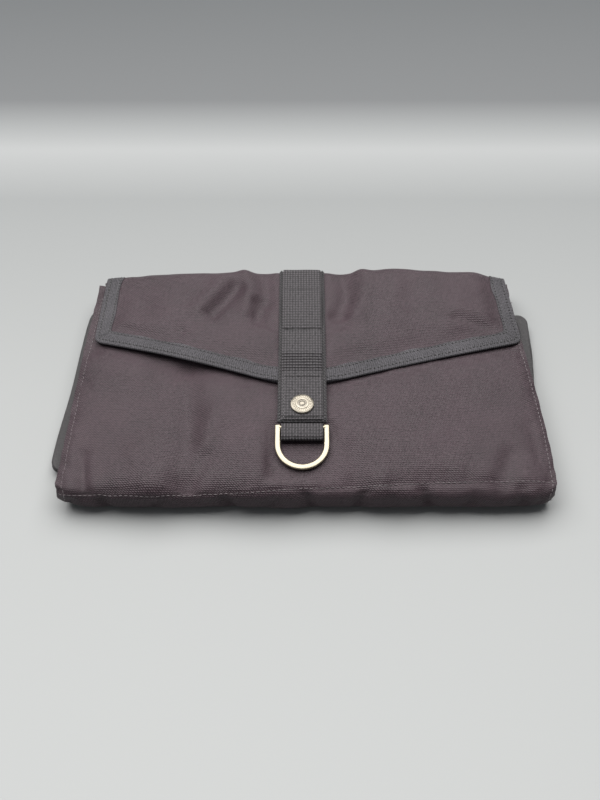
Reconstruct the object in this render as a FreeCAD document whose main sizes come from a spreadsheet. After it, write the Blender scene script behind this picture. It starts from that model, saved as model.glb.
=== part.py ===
"""Film changing bag folded for storage: a light-tight double bag, held in a padded wrap with a strapped flap.

Frame: millimetres, +X across the bag, +Y towards the fold that the flap hangs from, +Z up.
The origin is at the bottom centre of the folded bag, which lies flat on its back panel.
"""

import FreeCAD
import Part
import Sketcher
import math
import os

os.makedirs("parts", exist_ok=True)
doc = FreeCAD.newDocument("changing_bag")
V = FreeCAD.Vector
X_AXIS, Y_AXIS, Z_AXIS = V(1, 0, 0), V(0, 1, 0), V(0, 0, 1)
subparts = []

# ---------------------------------------------------------------- driving dimensions
DIMENSIONS = [
    ("wrap_width", 290, "wrap, left edge to right edge"),
    ("front_edge", 90.7, "origin to the front spine"),
    ("rear_wall", 87.5, "origin to the outside of the rear wall"),
    ("stack_height", 25, "top of the front panel, mid width"),
    ("shoulder_height", 20.5, "front spine's stitched edge"),
    ("shoulder_run", 48, "where the top stops rising, from the origin"),
    ("crown_rise", 6.5, "mid width above the side edges"),
    ("corner_low", 6, "bottom corner radius"),
    ("corner_front", 5, "radius over the front spine"),
    ("corner_rear", 3, "least radius over the rear fold"),
    ("shell_thick", 0.7, "outer twill"),
    ("padding_thick", 2, "wadding in the wrap"),
    ("lining_thick", 0.5, "lining"),
    ("mouth_front", 67, "free edge of the front panel"),
    ("wall_top", 15.8, "top of the rear wall, under the hinge"),
    ("hinge_height", 17.8, "flap hinge axis above the table"),
    ("flap_start", 19.6, "lower edge of the flap at the rear"),
    ("flap_half", 138, "half of the flap's width"),
    ("hem_corner", 27, "hem at the flap's corners"),
    ("hem_tip", -16, "hem at the flap's point"),
    ("hem_round", 5, "flap corner radius"),
    ("flap_gap", 1.2, "flap lining above the front panel"),
    ("flap_padding", 1.2, "wadding in the flap"),
    ("tape_width", 10, "binding tape on each face"),
    ("tape_thick", 0.6, "binding tape"),
    ("strap_x", -3, "middle of the strap"),
    ("base_width", 30, "base webbing"),
    ("webbing_width", 25, "loop webbing and ring keeper"),
    ("webbing_thick", 1.2, "both webbings"),
    ("ply_gap", 0.1, "air between plies of one body"),
    ("strap_end", -45, "free end of the base webbing"),
    ("webbing_end", -43.6, "free end of the loop webbing"),
    ("tail_foot", 9, "foot of the strap on the rear wall"),
    ("tail_top", 15, "top of the strap on the rear wall"),
    ("tack_first", 64, "bar tack nearest to the rear"),
    ("tack_second", 28, "second bar tack"),
    ("tack_third", -10.5, "third bar tack"),
    ("tack_last", -42, "bar tack that holds the keeper"),
    ("tack_width", 1.3, "bar tack along the strap"),
    ("tack_proud", 0.4, "bar tack above the webbing"),
    ("snap_y", -33, "middle of the snap"),
    ("cap_radius", 7.5, "snap cap"),
    ("cap_height", 2.4, "snap cap"),
    ("shank_radius", 1.9, "snap rivets"),
    ("eyelet_radius", 2, "holes for the snap rivets"),
    ("socket_radius", 6, "snap socket"),
    ("socket_bore", 3.6, "mouth of the snap socket"),
    ("socket_height", 3, "snap socket"),
    ("stud_radius", 3.2, "snap stud's head"),
    ("stud_neck", 2.6, "snap stud's neck"),
    ("stud_height", 2.6, "snap stud above its flange"),
    ("flange_radius", 5.5, "flanges of the stud and its post"),
    ("flange_thick", 0.6, "flanges of the stud and its post"),
    ("keeper_front", -57, "front of the ring keeper"),
    ("keeper_rear", -41.2, "rear of the keeper's tail"),
    ("keeper_low", 25.6, "underside of the ring keeper"),
    ("keeper_high", 30.8, "top of the ring keeper's loop"),
    ("keeper_neck", -45.4, "where the loop rises from the tail"),
    ("ring_axis_y", -47.6, "bar of the ring"),
    ("ring_axis_z", 28.2, "bar of the ring"),
    ("ring_inner", 12.9, "inside half-width and bow radius"),
    ("ring_band", 3.4, "width of the ring's band"),
    ("ring_thick", 2.2, "thickness of the ring's band"),
    ("ring_bar", 1.3, "radius of the ring's bar"),
    ("ring_reach", 12.6, "bar to the centre of the bow"),
    ("ring_butt", 1.3, "arm behind the bar"),
    ("ring_tilt", 9, "ring's slope at rest, in degrees"),
    ("sleeve_low", 3.5, "underside of the folded sleeves"),
    ("sleeve_thick", 4, "folded sleeve"),
    ("sleeve_width", 116, "folded sleeve"),
    ("sleeve_front", -80, "folded sleeve's front edge"),
    ("sleeve_rear", 47, "where the sleeve meets its cuff"),
    ("left_reach", 6, "left sleeve beyond the wrap's edge"),
    ("right_reach", 6.6, "right sleeve beyond the wrap's edge"),
    ("right_shift", 5, "right sleeve set back towards the rear"),
    ("sleeve_skew", 1.8, "both sleeves' turn, in degrees"),
    ("cuff_length", 14, "elastic cuff"),
    ("bag_half", 141, "half-width of the folded bag"),
    ("bag_low", 8, "underside of the folded bag"),
    ("bag_rear", 66, "folded bag's rear fold"),
    ("bag_inset", 4.2, "folded bag below the front panel's top"),
    ("bag_wall", 0.8, "outer bag's folded cloth"),
    ("facing_thick", 0.8, "cloth that holds the zip tapes"),
    ("facing_low", 3.5, "foot of the facings"),
    ("facing_high", 14.6, "top of the facings"),
    ("zip_half", 128, "half-length of the zips"),
    ("zip_y", 75.8, "middle of both zips"),
    ("outer_zip_z", 13.5, "tape of the outer zip"),
    ("inner_zip_z", 4.9, "tape of the inner zip"),
    ("zip_tape_thick", 0.5, "zip tape"),
    ("coil_width", 2, "one half of the coil"),
    ("coil_thick", 1.8, "coil above the tape"),
    ("zip_gap", 1.2, "between the coil halves, for the slider's web"),
    ("slider_length", 11, "zip slider"),
    ("slider_half", 4.4, "half-width of the zip slider"),
    ("slider_plate", 0.8, "slider's plates"),
    ("slider_play", 0.25, "slider to coil and tape"),
    ("slider_x", -112, "slider when the bag is shut"),
    ("bail_height", 1.5, "pull's pin above the slider"),
    ("pin_radius", 0.7, "pull's pin"),
    ("pull_length", 22, "zip pull"),
    ("pull_width", 6, "zip pull"),
    ("pull_thick", 1.2, "zip pull"),
    ("pull_slope", 3.5, "pull's slope at rest, in degrees"),
    ("eye_radius", 1.3, "pull's eye"),
    ("eye_bore", 0.8, "hole in the pull's eye"),
    ("stop_length", 2.5, "zip stops"),
]

sheet = doc.addObject("Spreadsheet::Sheet", "dims")
for row, (alias, number, note) in enumerate(DIMENSIONS, start=1):
    sheet.set(f"A{row}", alias)
    sheet.set(f"B{row}", str(number))
    sheet.setAlias(f"B{row}", alias)
    sheet.set(f"C{row}", note)
doc.recompute()


# ---------------------------------------------------------------- helpers
def keep(thing, label):
    """Lists an object as a sub-part: its label names its file."""
    thing.Label = label
    subparts.append(thing)
    return thing


def bind(thing, **sizes):
    """Binds properties to expressions on the sheet; x, y and z bind the placement."""
    for name, expression in sizes.items():
        path = f".Placement.Base.{name}" if name in ("x", "y", "z") else name
        thing.setExpression(path, expression)
    return thing


def box(name, low, size):
    """A box from the expressions of its low corner and of its size."""
    made = doc.addObject("Part::Box", name)
    bind(made, x=low[0], y=low[1], z=low[2])
    return bind(made, Length=size[0], Width=size[1], Height=size[2])


def cylinder(name, foot, radius, height, axis=Z_AXIS):
    """A cylinder from its foot along an axis."""
    made = doc.addObject("Part::Cylinder", name)
    made.Placement = FreeCAD.Placement(V(0, 0, 0), FreeCAD.Rotation(Z_AXIS, axis))
    bind(made, x=foot[0], y=foot[1], z=foot[2])
    return bind(made, Radius=radius, Height=height)


def boolean(kind, name, base, tool):
    made = doc.addObject(f"Part::{kind}", name)
    made.Base, made.Tool = base, tool
    return made


def cut(name, base, *tools):
    for number, tool in enumerate(tools):
        base = boolean("Cut", f"{name}_cut{number}", base, tool)
    return base


def common(name, base, tool):
    return boolean("Common", name, base, tool)


def fuse(name, *pieces):
    made = doc.addObject("Part::MultiFuse", name)
    made.Shapes = list(pieces)
    return made


def origin_plane(body, role):
    return [o for o in body.Origin.OriginFeatures if o.Role == role][0]


def closed_outline(sketch, corners, bulges=()):
    """Draws a closed outline through corners, each a pair of expressions, and binds every corner.

    bulges maps a corner's number to the expression of the second coordinate of the centre
    of the arc that runs from that corner to the next one, round the low side of the centre.
    """
    first = sketch.GeometryCount
    bulges = dict(bulges)
    points = [
        V(float(sketch.evalExpression(u)), float(sketch.evalExpression(v)), 0)
        for u, v in corners
    ]
    count = len(points)
    for i, start in enumerate(points):
        end = points[(i + 1) % count]
        if i in bulges:
            level = float(sketch.evalExpression(bulges[i]))
            centre = V((start.x + end.x) / 2, level, 0)
            radius = (start - centre).Length
            left, right = sorted((start, end), key=lambda point: point.x)
            edge = Part.Arc(left, centre - V(0, radius, 0), right)
        else:
            edge = Part.LineSegment(start, end)
        sketch.addGeometry(edge, False)
    arcs_backwards = {i for i in bulges if points[i].x > points[(i + 1) % count].x}
    for i in range(count):
        after = (i + 1) % count
        end_of_this = 1 if i in arcs_backwards else 2
        start_of_next = 2 if after in arcs_backwards else 1
        sketch.addConstraint(
            Sketcher.Constraint(
                "Coincident", first + i, end_of_this, first + after, start_of_next
            )
        )
    for i, (u, v) in enumerate(corners):
        start = 2 if i in arcs_backwards else 1
        for kind, value, expression in (
            ("DistanceX", points[i].x, u),
            ("DistanceY", points[i].y, v),
        ):
            number = sketch.addConstraint(
                Sketcher.Constraint(kind, first + i, start, value)
            )
            sketch.setExpression(f"Constraints[{number}]", expression)
    for i, level in bulges.items():
        number = sketch.addConstraint(
            Sketcher.Constraint(
                "DistanceY", first + i, 3, float(sketch.evalExpression(level))
            )
        )
        sketch.setExpression(f"Constraints[{number}]", level)


def padded_outline(name, plane, outlines, length, middle=True):
    """A PartDesign body: one sketch of closed outlines on an origin plane, padded both ways or one way."""
    body = doc.addObject("PartDesign::Body", name)
    sketch = body.newObject("Sketcher::SketchObject", f"{name}_sketch")
    sketch.AttachmentSupport = [(origin_plane(body, plane), "")]
    sketch.MapMode = "FlatFace"
    for outline in outlines:
        corners, bulges = outline if isinstance(outline, tuple) else (outline, ())
        closed_outline(sketch, corners, bulges)
    pad = body.newObject("PartDesign::Pad", f"{name}_pad")
    pad.Profile = sketch
    pad.Midplane = middle
    bind(pad, Length=length)
    sketch.Visibility = False
    doc.recompute()
    return body


def turned_outline(name, corners):
    """A PartDesign body: an outline of (radius, height) corners turned about Z."""
    body = doc.addObject("PartDesign::Body", name)
    sketch = body.newObject("Sketcher::SketchObject", f"{name}_sketch")
    sketch.AttachmentSupport = [(origin_plane(body, "XZ_Plane"), "")]
    sketch.MapMode = "FlatFace"
    closed_outline(sketch, corners)
    turn = body.newObject("PartDesign::Revolution", f"{name}_turn")
    turn.Profile = sketch
    turn.ReferenceAxis = (sketch, ["V_Axis"])
    turn.Angle = 360
    doc.recompute()
    return body


def round_edges(body, chosen, radius):
    """Adds a PartDesign fillet over the edges that chosen(edge) picks."""
    base = body.Tip
    names = [
        f"Edge{i}" for i, edge in enumerate(base.Shape.Edges, start=1) if chosen(edge)
    ]
    fillet = body.newObject("PartDesign::Fillet", f"{body.Name}_fillet")
    fillet.Base = (base, names)
    bind(fillet, Radius=radius)
    doc.recompute()
    return body


def along(edge, axis):
    """True for a straight edge along an axis."""
    if not isinstance(edge.Curve, (Part.Line, Part.LineSegment)):
        return False
    ends = [vertex.Point for vertex in edge.Vertexes]
    return len(ends) == 2 and abs((ends[1] - ends[0]).normalize().dot(axis)) > 0.999


def near_yz(edge, y, z):
    """True for an edge whose middle is at this y and z."""
    middle = edge.CenterOfMass
    return abs(middle.y - y) < 0.01 and abs(middle.z - z) < 0.01


# ---------------------------------------------------------------- the pillow
# Every ply of the wrap and of the flap is a skin between two pillows. A pillow is one side
# profile drawn out along X and rounded over by one wide cylinder, moved out by a reach
# that is negative inside the front panel's top face.
CROWN = "((dims.wrap_width / 2)^2 + dims.crown_rise^2) / (2 * dims.crown_rise)"
FLAP_STACK = "(dims.flap_gap + dims.lining_thick + dims.flap_padding + dims.shell_thick)"
APEX_CLEARANCE = "1"
WIDE = "dims.wrap_width + 40"


def pillow(name, reach, rear, rear_radius, length):
    front = f"-(dims.front_edge + {reach})"
    low = f"-({reach})"
    high = f"dims.stack_height + {reach} + {APEX_CLEARANCE}"
    shoulder = f"dims.shoulder_height + {reach}"
    corners = [
        (front, low),
        (front, shoulder),
        ("-dims.shoulder_run", high),
        (rear, high),
        (rear, low),
    ]
    body = padded_outline(f"{name}_profile", "YZ_Plane", [corners], length)
    value = sheet.evalExpression
    y0, y1 = float(value(front)), float(value(rear))
    z0, z1 = float(value(low)), float(value(high))
    z_shoulder = float(value(shoulder))

    def is_low(edge):
        return along(edge, X_AXIS) and (near_yz(edge, y0, z0) or near_yz(edge, y1, z0))

    def is_shoulder(edge):
        return along(edge, X_AXIS) and near_yz(edge, y0, z_shoulder)

    def is_rear(edge):
        return along(edge, X_AXIS) and near_yz(edge, y1, z1)

    round_edges(body, is_low, f"max(dims.corner_low + {reach}; 1.2)")
    round_edges(body, is_shoulder, f"max(dims.corner_front + {reach}; 1.2)")
    round_edges(body, is_rear, f"max({rear_radius}; 1.2)")
    crown = cylinder(
        f"{name}_crown",
        ("0", "-(dims.front_edge + 40)", f"dims.stack_height - {CROWN}"),
        f"{CROWN} + {reach}",
        "2 * dims.front_edge + 80",
        Y_AXIS,
    )
    return common(name, body, crown)


def wrap_pillow(name, depth, length=WIDE):
    """The wrap's outside, moved in by a depth."""
    return pillow(
        name,
        f"(-({depth}))",
        f"dims.rear_wall - ({depth})",
        f"dims.corner_low - ({depth})",
        length,
    )


flap_pillows = {}


def flap_pillow(reach):
    """The front panel's top, moved out by a reach, with the flap's own rear face."""
    if reach not in flap_pillows:
        name = f"flap_pillow{len(flap_pillows)}"
        rear = f"dims.rear_wall - {FLAP_STACK} + {reach}"
        flap_pillows[reach] = pillow(
            name, f"({reach})", rear, f"dims.corner_rear + {reach}", WIDE
        )
    return flap_pillows[reach]


# ---------------------------------------------------------------- wrap
def mouth_tool(name):
    """What is open above the rear wall and behind the front panel's free edge."""
    wall = "dims.rear_wall - dims.shell_thick - dims.padding_thick - dims.lining_thick"
    gap = box(
        f"{name}_gap",
        ("-dims.wrap_width", "dims.mouth_front", "dims.corner_low"),
        ("2 * dims.wrap_width", f"{wall} - dims.mouth_front", "dims.stack_height"),
    )
    top = box(
        f"{name}_top",
        ("-dims.wrap_width", "dims.mouth_front + 1", "dims.wall_top"),
        ("2 * dims.wrap_width", "dims.front_edge", "dims.stack_height"),
    )
    return fuse(name, gap, top)


def eyelet(name, high, deep):
    """A hole for a snap rivet."""
    return cylinder(
        name,
        ("dims.strap_x", "dims.snap_y", f"({high}) - ({deep})"),
        "dims.eyelet_radius",
        deep,
    )


def wrap():
    """The wrap: twill shell, wadding and lining, each one C-shaped sheet open at both ends."""
    shell = "dims.shell_thick"
    padding = f"{shell} + dims.padding_thick"
    lining = f"{padding} + dims.lining_thick"
    outside = wrap_pillow("wrap_outside", "0", "dims.wrap_width")
    plies = [
        ("wrap_shell", outside, shell),
        ("wrap_padding", None, padding),
        ("wrap_lining", None, lining),
    ]
    solid = outside
    hole = eyelet("stud_eyelet", "dims.stack_height + 1", "6")
    for label, _, depth in plies:
        wide = wrap_pillow(f"{label}_inside", depth)
        ply = cut(label, solid, wide, mouth_tool(f"{label}_mouth"), hole)
        keep(ply, label)
        solid = common(f"{label}_core", outside, wide)


def snap_stud():
    """The snap's lower half: a stud on the front panel, and the post that rivets it from inside."""
    top = "dims.stack_height + dims.ply_gap"
    rim = f"{top} + dims.flange_thick"
    stud = turned_outline(
        "stud_turned",
        [
            ("0", top),
            ("dims.flange_radius", top),
            ("dims.flange_radius", rim),
            ("dims.stud_neck", rim),
            ("dims.stud_neck", f"{rim} + dims.stud_height / 3"),
            ("dims.stud_radius", f"{rim} + dims.stud_height * 2 / 3"),
            ("dims.stud_neck", f"{rim} + dims.stud_height"),
            ("0", f"{rim} + dims.stud_height"),
        ],
    )
    bind(stud, x="dims.strap_x", y="dims.snap_y")
    keep(stud, "snap_stud")
    ply = "dims.shell_thick + dims.padding_thick + dims.lining_thick"
    under = f"dims.stack_height - ({ply}) - dims.ply_gap"
    post = turned_outline(
        "post_turned",
        [
            ("0", f"{under} - dims.flange_thick"),
            ("dims.flange_radius", f"{under} - dims.flange_thick"),
            ("dims.flange_radius", under),
            ("dims.shank_radius", under),
            ("dims.shank_radius", top),
            ("0", top),
        ],
    )
    bind(post, x="dims.strap_x", y="dims.snap_y")
    keep(post, "snap_post")


# ---------------------------------------------------------------- folded bag
def bag():
    """The double bag, folded flat: the outer bag's cloth around the inner bag."""

    def packet(name, depth, wall):
        core = wrap_pillow(f"{name}_core", f"dims.bag_inset + {depth}")
        bounds = box(
            f"{name}_bounds",
            (
                f"-dims.bag_half + {wall}",
                f"-dims.front_edge + dims.bag_inset + {wall}",
                f"dims.bag_low + {wall}",
            ),
            (
                f"2 * (dims.bag_half - {wall})",
                f"dims.bag_rear + dims.front_edge - dims.bag_inset - 2 * {wall}",
                "dims.stack_height",
            ),
        )
        return common(name, core, bounds)

    outside = packet("bag_packet", "0", "0")
    inside = packet("bag_hollow", "dims.bag_wall", "dims.bag_wall")
    keep(cut("outer_bag", outside, inside), "outer_bag")
    play = "(dims.bag_wall + dims.ply_gap)"
    keep(packet("inner_packet", play, play), "inner_bag")


def sleeves():
    """Two arm sleeves, folded flat along the bag, each with its elastic cuff towards the rear."""
    for side, shift in (("left", "0"), ("right", "dims.right_shift")):
        edge = f"(dims.wrap_width / 2 + dims.{side}_reach)"
        inner = f"({edge} - dims.sleeve_width)"
        a, b = (f"-{edge}", f"-{inner}") if side == "left" else (inner, edge)
        pieces = (
            ("sleeve", "dims.sleeve_front", "dims.sleeve_rear"),
            (
                "cuff",
                "dims.sleeve_rear + dims.ply_gap",
                "dims.sleeve_rear + dims.cuff_length",
            ),
        )
        for kind, front, rear in pieces:
            body = padded_outline(
                f"{side}_{kind}_body",
                "XY_Plane",
                [[(a, front), (b, front), (b, rear), (a, rear)]],
                "dims.sleeve_thick",
                middle=False,
            )
            round_edges(
                body, lambda edge: along(edge, Y_AXIS), "dims.sleeve_thick / 2 - 0.2"
            )
            body.Placement.Rotation = FreeCAD.Rotation(Z_AXIS, 1)
            body.setExpression(".Placement.Rotation.Angle", "-dims.sleeve_skew")
            bind(body, y=shift, z="dims.sleeve_low")
            keep(body, f"{side}_{kind}")


def facings():
    """Two strips of cloth that hold the zip tapes, one on each side of the mouth."""
    ply = "(dims.shell_thick + dims.padding_thick + dims.lining_thick)"
    rear = f"dims.rear_wall - {ply} - dims.ply_gap - dims.facing_thick"
    bounds = wrap_pillow("facing_bounds", f"{ply} + dims.ply_gap")
    for label, y in (
        ("facing_front", "2 * dims.zip_y - (" + rear + ") - dims.facing_thick"),
        ("facing_rear", rear),
    ):
        strip = box(
            f"{label}_strip",
            ("-dims.zip_half", y, "dims.facing_low"),
            (
                "2 * dims.zip_half",
                "dims.facing_thick",
                "dims.facing_high - dims.facing_low",
            ),
        )
        keep(common(label, strip, bounds), label)


def zip_fastener(which):
    """One zip: two tapes, two coil halves, end stops, a slider and its pull."""
    z = f"dims.{which}_zip_z"
    ply = "(dims.shell_thick + dims.padding_thick + dims.lining_thick)"
    reach = (
        f"(dims.rear_wall - {ply} - 2 * dims.ply_gap - dims.facing_thick - dims.zip_y)"
    )
    tape_top = f"{z} + dims.zip_tape_thick / 2"
    length = "2 * dims.zip_half"
    for label, tape_y, coil_y in (
        (
            "front",
            f"dims.zip_y - {reach}",
            "dims.zip_y - dims.zip_gap / 2 - dims.coil_width",
        ),
        ("rear", "dims.zip_y + dims.zip_gap / 2", "dims.zip_y + dims.zip_gap / 2"),
    ):
        tape = box(
            f"{which}_tape_{label}",
            ("-dims.zip_half", tape_y, f"{z} - dims.zip_tape_thick / 2"),
            (length, f"{reach} - dims.zip_gap / 2", "dims.zip_tape_thick"),
        )
        keep(tape, f"{which}_zip_tape_{label}")
        coil = box(
            f"{which}_coil_{label}",
            ("-dims.zip_half + dims.stop_length", coil_y, tape_top),
            (f"{length} - 2 * dims.stop_length", "dims.coil_width", "dims.coil_thick"),
        )
        keep(coil, f"{which}_zip_coil_{label}")
    stops = doc.addObject("Part::Compound", f"{which}_stops")
    stops.Links = [
        box(
            f"{which}_stop{number}",
            (x, "dims.zip_y - dims.zip_gap / 2 - dims.coil_width", tape_top),
            (
                "dims.stop_length - dims.ply_gap",
                "2 * dims.coil_width + dims.zip_gap",
                "dims.coil_thick",
            ),
        )
        for number, x in enumerate(
            ("-dims.zip_half", "dims.zip_half - dims.stop_length + dims.ply_gap")
        )
    ]
    keep(stops, f"{which}_zip_stops")
    slider(which, z)
    pull(which, z)


def slider_top(z):
    return f"{z} + dims.zip_tape_thick / 2 + dims.coil_thick + dims.slider_play + dims.slider_plate"


def slider(which, z):
    """A slider: two plates around the coils, a web between them, and a pin for the pull."""
    mid = "dims.zip_y"
    half = "dims.slider_half"
    lip = f"({half} - dims.slider_plate)"
    play = "dims.slider_play"
    plate = "dims.slider_plate"
    web = "(dims.zip_gap / 2 - dims.slider_play)"
    low = f"{z} - dims.zip_tape_thick / 2 - {play}"
    high = f"{z} + dims.zip_tape_thick / 2 + dims.coil_thick + {play}"
    slot = f"{z} + dims.zip_tape_thick / 2 + {play}"
    corners = [
        (f"{mid} - {half}", f"{low} - {plate}"),
        (f"{mid} + {half}", f"{low} - {plate}"),
        (f"{mid} + {half}", low),
        (f"{mid} + {web}", low),
        (f"{mid} + {web}", high),
        (f"{mid} + {lip}", high),
        (f"{mid} + {lip}", slot),
        (f"{mid} + {half}", slot),
        (f"{mid} + {half}", f"{high} + {plate}"),
        (f"{mid} - {half}", f"{high} + {plate}"),
        (f"{mid} - {half}", slot),
        (f"{mid} - {lip}", slot),
        (f"{mid} - {lip}", high),
        (f"{mid} - {web}", high),
        (f"{mid} - {web}", low),
        (f"{mid} - {half}", low),
    ]
    body = padded_outline(
        f"{which}_slider_body", "YZ_Plane", [corners], "dims.slider_length"
    )
    bind(body, x="dims.slider_x")
    top = f"{high} + {plate}"
    lugs = [
        box(
            f"{which}_lug{number}",
            ("dims.slider_x - dims.pin_radius", y, f"{top} - 0.1"),
            (
                "2 * dims.pin_radius",
                "dims.slider_plate",
                "dims.bail_height + dims.pin_radius + 0.1",
            ),
        )
        for number, y in enumerate((f"{mid} - {half} + 1", f"{mid} + {half} - 1.8"))
    ]
    pin = cylinder(
        f"{which}_pin",
        ("dims.slider_x", f"{mid} - {half} + 1.2", f"{top} + dims.bail_height"),
        "dims.pin_radius",
        f"2 * {half} - 2.4",
        Y_AXIS,
    )
    keep(fuse(f"{which}_slider_whole", body, *lugs, pin), f"{which}_zip_slider")


def pull(which, z):
    """A flat pull: an eye around the slider's pin, a narrow shank and a wider tab, sloping down at rest."""
    eye_width = "(2 * dims.slider_half - 4.4)"
    shank = box(
        f"{which}_shank",
        ("0", f"-{eye_width} / 2", "-dims.pull_thick / 2"),
        ("7", eye_width, "dims.pull_thick"),
    )
    tab = box(
        f"{which}_tab",
        ("6", "-dims.pull_width / 2", "-dims.pull_thick / 2"),
        ("dims.pull_length - 6", "dims.pull_width", "dims.pull_thick"),
    )
    eye = cylinder(
        f"{which}_eye", ("0", f"-{eye_width} / 2", "0"), "dims.eye_radius", eye_width, Y_AXIS
    )
    bore = cylinder(
        f"{which}_eye_bore", ("0", "-dims.pull_width", "0"), "dims.eye_bore", "2 * dims.pull_width", Y_AXIS
    )
    whole = cut(f"{which}_pull", fuse(f"{which}_pull_blank", shank, tab, eye), bore)
    whole.Placement.Rotation = FreeCAD.Rotation(Y_AXIS, 1)
    whole.setExpression(".Placement.Rotation.Angle", "dims.pull_slope")
    bind(whole, x="dims.slider_x", y="dims.zip_y", z=f"{slider_top(z)} + dims.bail_height")
    keep(whole, f"{which}_zip_pull")


# ---------------------------------------------------------------- flap
HEM_SLOPE = "((dims.hem_corner - dims.hem_tip) / dims.flap_half)"


def flap_outline(name, inset):
    """The flap's pointed outline, moved in by an inset, as an upright prism above the hinge."""
    shift = f"({inset}) * sqrt(1 + {HEM_SLOPE}^2)"
    half = f"(dims.flap_half - ({inset}))"
    corner = f"dims.hem_corner + {shift} - ({inset}) * {HEM_SLOPE}"
    body = padded_outline(
        name,
        "XY_Plane",
        [
            [
                (f"-{half}", "dims.front_edge + 20"),
                (f"-{half}", corner),
                ("dims.strap_x", f"dims.hem_tip + {shift}"),
                (half, corner),
                (half, "dims.front_edge + 20"),
            ]
        ],
        "dims.stack_height",
        middle=False,
    )
    edge_y = float(sheet.evalExpression(corner))

    def at_corner(edge):
        return along(edge, Z_AXIS) and abs(edge.CenterOfMass.y - edge_y) < 0.01

    round_edges(body, at_corner, "dims.hem_round")
    return bind(body, z="dims.flap_start")


def ply_between(name, low, high, outline):
    """A skin between two reaches of the flap's pillow, inside an outline."""
    skin = cut(f"{name}_skin", flap_pillow(high), flap_pillow(low))
    return common(f"{name}_ply", skin, outline)


LINING_LOW = "dims.flap_gap"
LINING_HIGH = f"{LINING_LOW} + dims.lining_thick"
PADDING_HIGH = f"{LINING_HIGH} + dims.flap_padding"
SHELL_HIGH = f"{PADDING_HIGH} + dims.shell_thick"
TAPE_LOW = "dims.flap_gap - dims.tape_thick"
TAPE_HIGH = f"{SHELL_HIGH} + dims.tape_thick"
BASE_LOW = f"{TAPE_HIGH} + dims.ply_gap"
BASE_HIGH = f"{BASE_LOW} + dims.webbing_thick"
WEBBING_LOW = f"{BASE_HIGH} + dims.ply_gap"
WEBBING_HIGH = f"{WEBBING_LOW} + dims.webbing_thick"


def flap():
    """The flap: lining, wadding and shell, bound on three sides by one folded tape."""
    outline = flap_outline("flap_edge", "0")
    for label, low, high in (
        ("flap_lining", LINING_LOW, LINING_HIGH),
        ("flap_padding", LINING_HIGH, PADDING_HIGH),
        ("flap_shell", PADDING_HIGH, SHELL_HIGH),
    ):
        keep(ply_between(label, low, high, outline), label)
    around = ply_between(
        "binding_block", TAPE_LOW, TAPE_HIGH, flap_outline("tape_edge", "-dims.tape_thick")
    )
    stack = ply_between("binding_core", LINING_LOW, SHELL_HIGH, outline)
    field = flap_outline("tape_field", "dims.tape_width")
    keep(cut("flap_binding", around, stack, field), "flap_binding")


def strap_strip(name, width, end, low, high):
    """A webbing that lies over the flap from the rear fold to its free end."""
    strip = box(
        f"{name}_strip",
        (f"dims.strap_x - {width} / 2", end, "dims.flap_start"),
        (width, f"2 * dims.front_edge - ({end})", "dims.stack_height"),
    )
    skin = cut(f"{name}_skin", flap_pillow(high), flap_pillow(low))
    return common(f"{name}_band", skin, strip)


def strap():
    """Base webbing and loop webbing on the flap, their tail on the rear wall, and the bar tacks."""
    hole = eyelet("cap_eyelet", "dims.stack_height + 12", "9")
    base = strap_strip("base", "dims.base_width", "dims.strap_end", BASE_LOW, BASE_HIGH)
    keep(cut("strap_base", base, hole), "strap_base")
    webbing = strap_strip(
        "webbing", "dims.webbing_width", "dims.webbing_end", WEBBING_LOW, WEBBING_HIGH
    )
    keep(cut("strap_webbing", webbing, hole), "strap_webbing")
    tail = box(
        "tail_strip",
        (
            "dims.strap_x - dims.base_width / 2",
            "dims.rear_wall + dims.ply_gap",
            "dims.tail_foot",
        ),
        (
            "dims.base_width",
            "dims.webbing_thick",
            "dims.tail_top - dims.tail_foot",
        ),
    )
    keep(tail, "strap_tail")
    tacks = doc.addObject("Part::Compound", "tacks")
    tacks.Links = [
        box(
            f"tack{number}",
            (
                "dims.strap_x - dims.webbing_width / 2",
                f"dims.{name} - dims.tack_width / 2",
                f"dims.stack_height + {WEBBING_HIGH} + dims.ply_gap / 4",
            ),
            ("dims.webbing_width", "dims.tack_width", "dims.tack_proud"),
        )
        for number, name in enumerate(
            ("tack_first", "tack_second", "tack_third", "tack_last")
        )
    ]
    keep(tacks, "bar_tacks")


def snap_cap():
    """The snap's upper half: a ringed cap on the webbing and the socket that its shank holds under it."""
    seat = f"dims.stack_height + {WEBBING_HIGH} + dims.ply_gap / 2"
    top = f"{seat} + dims.cap_height"
    cap = turned_outline(
        "cap_turned",
        [
            ("0", f"dims.stack_height + {BASE_LOW} - dims.ply_gap"),
            ("dims.shank_radius", f"dims.stack_height + {BASE_LOW} - dims.ply_gap"),
            ("dims.shank_radius", seat),
            ("dims.cap_radius - 0.4", seat),
            ("dims.cap_radius", f"{seat} + 0.5"),
            ("dims.cap_radius - 0.6", f"{seat} + 1.4"),
            ("dims.cap_radius * 0.62", f"{top} - 0.35"),
            ("dims.cap_radius * 0.42", f"{top} - 0.7"),
            ("dims.cap_radius * 0.3", top),
            ("0", top),
        ],
    )
    bind(cap, x="dims.strap_x", y="dims.snap_y")
    keep(cap, "snap_cap")
    roof = f"dims.stack_height + {BASE_LOW} - dims.ply_gap"
    mouth = f"{roof} - dims.socket_height"
    socket = turned_outline(
        "socket_turned",
        [
            ("0", roof),
            ("0", f"{roof} - 0.5"),
            ("dims.socket_bore", f"{roof} - 0.5"),
            ("dims.socket_bore", mouth),
            ("dims.socket_radius - 0.5", mouth),
            ("dims.socket_radius", f"{mouth} + 0.8"),
            ("dims.socket_radius", roof),
        ],
    )
    bind(socket, x="dims.strap_x", y="dims.snap_y")
    keep(socket, "snap_socket")


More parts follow.
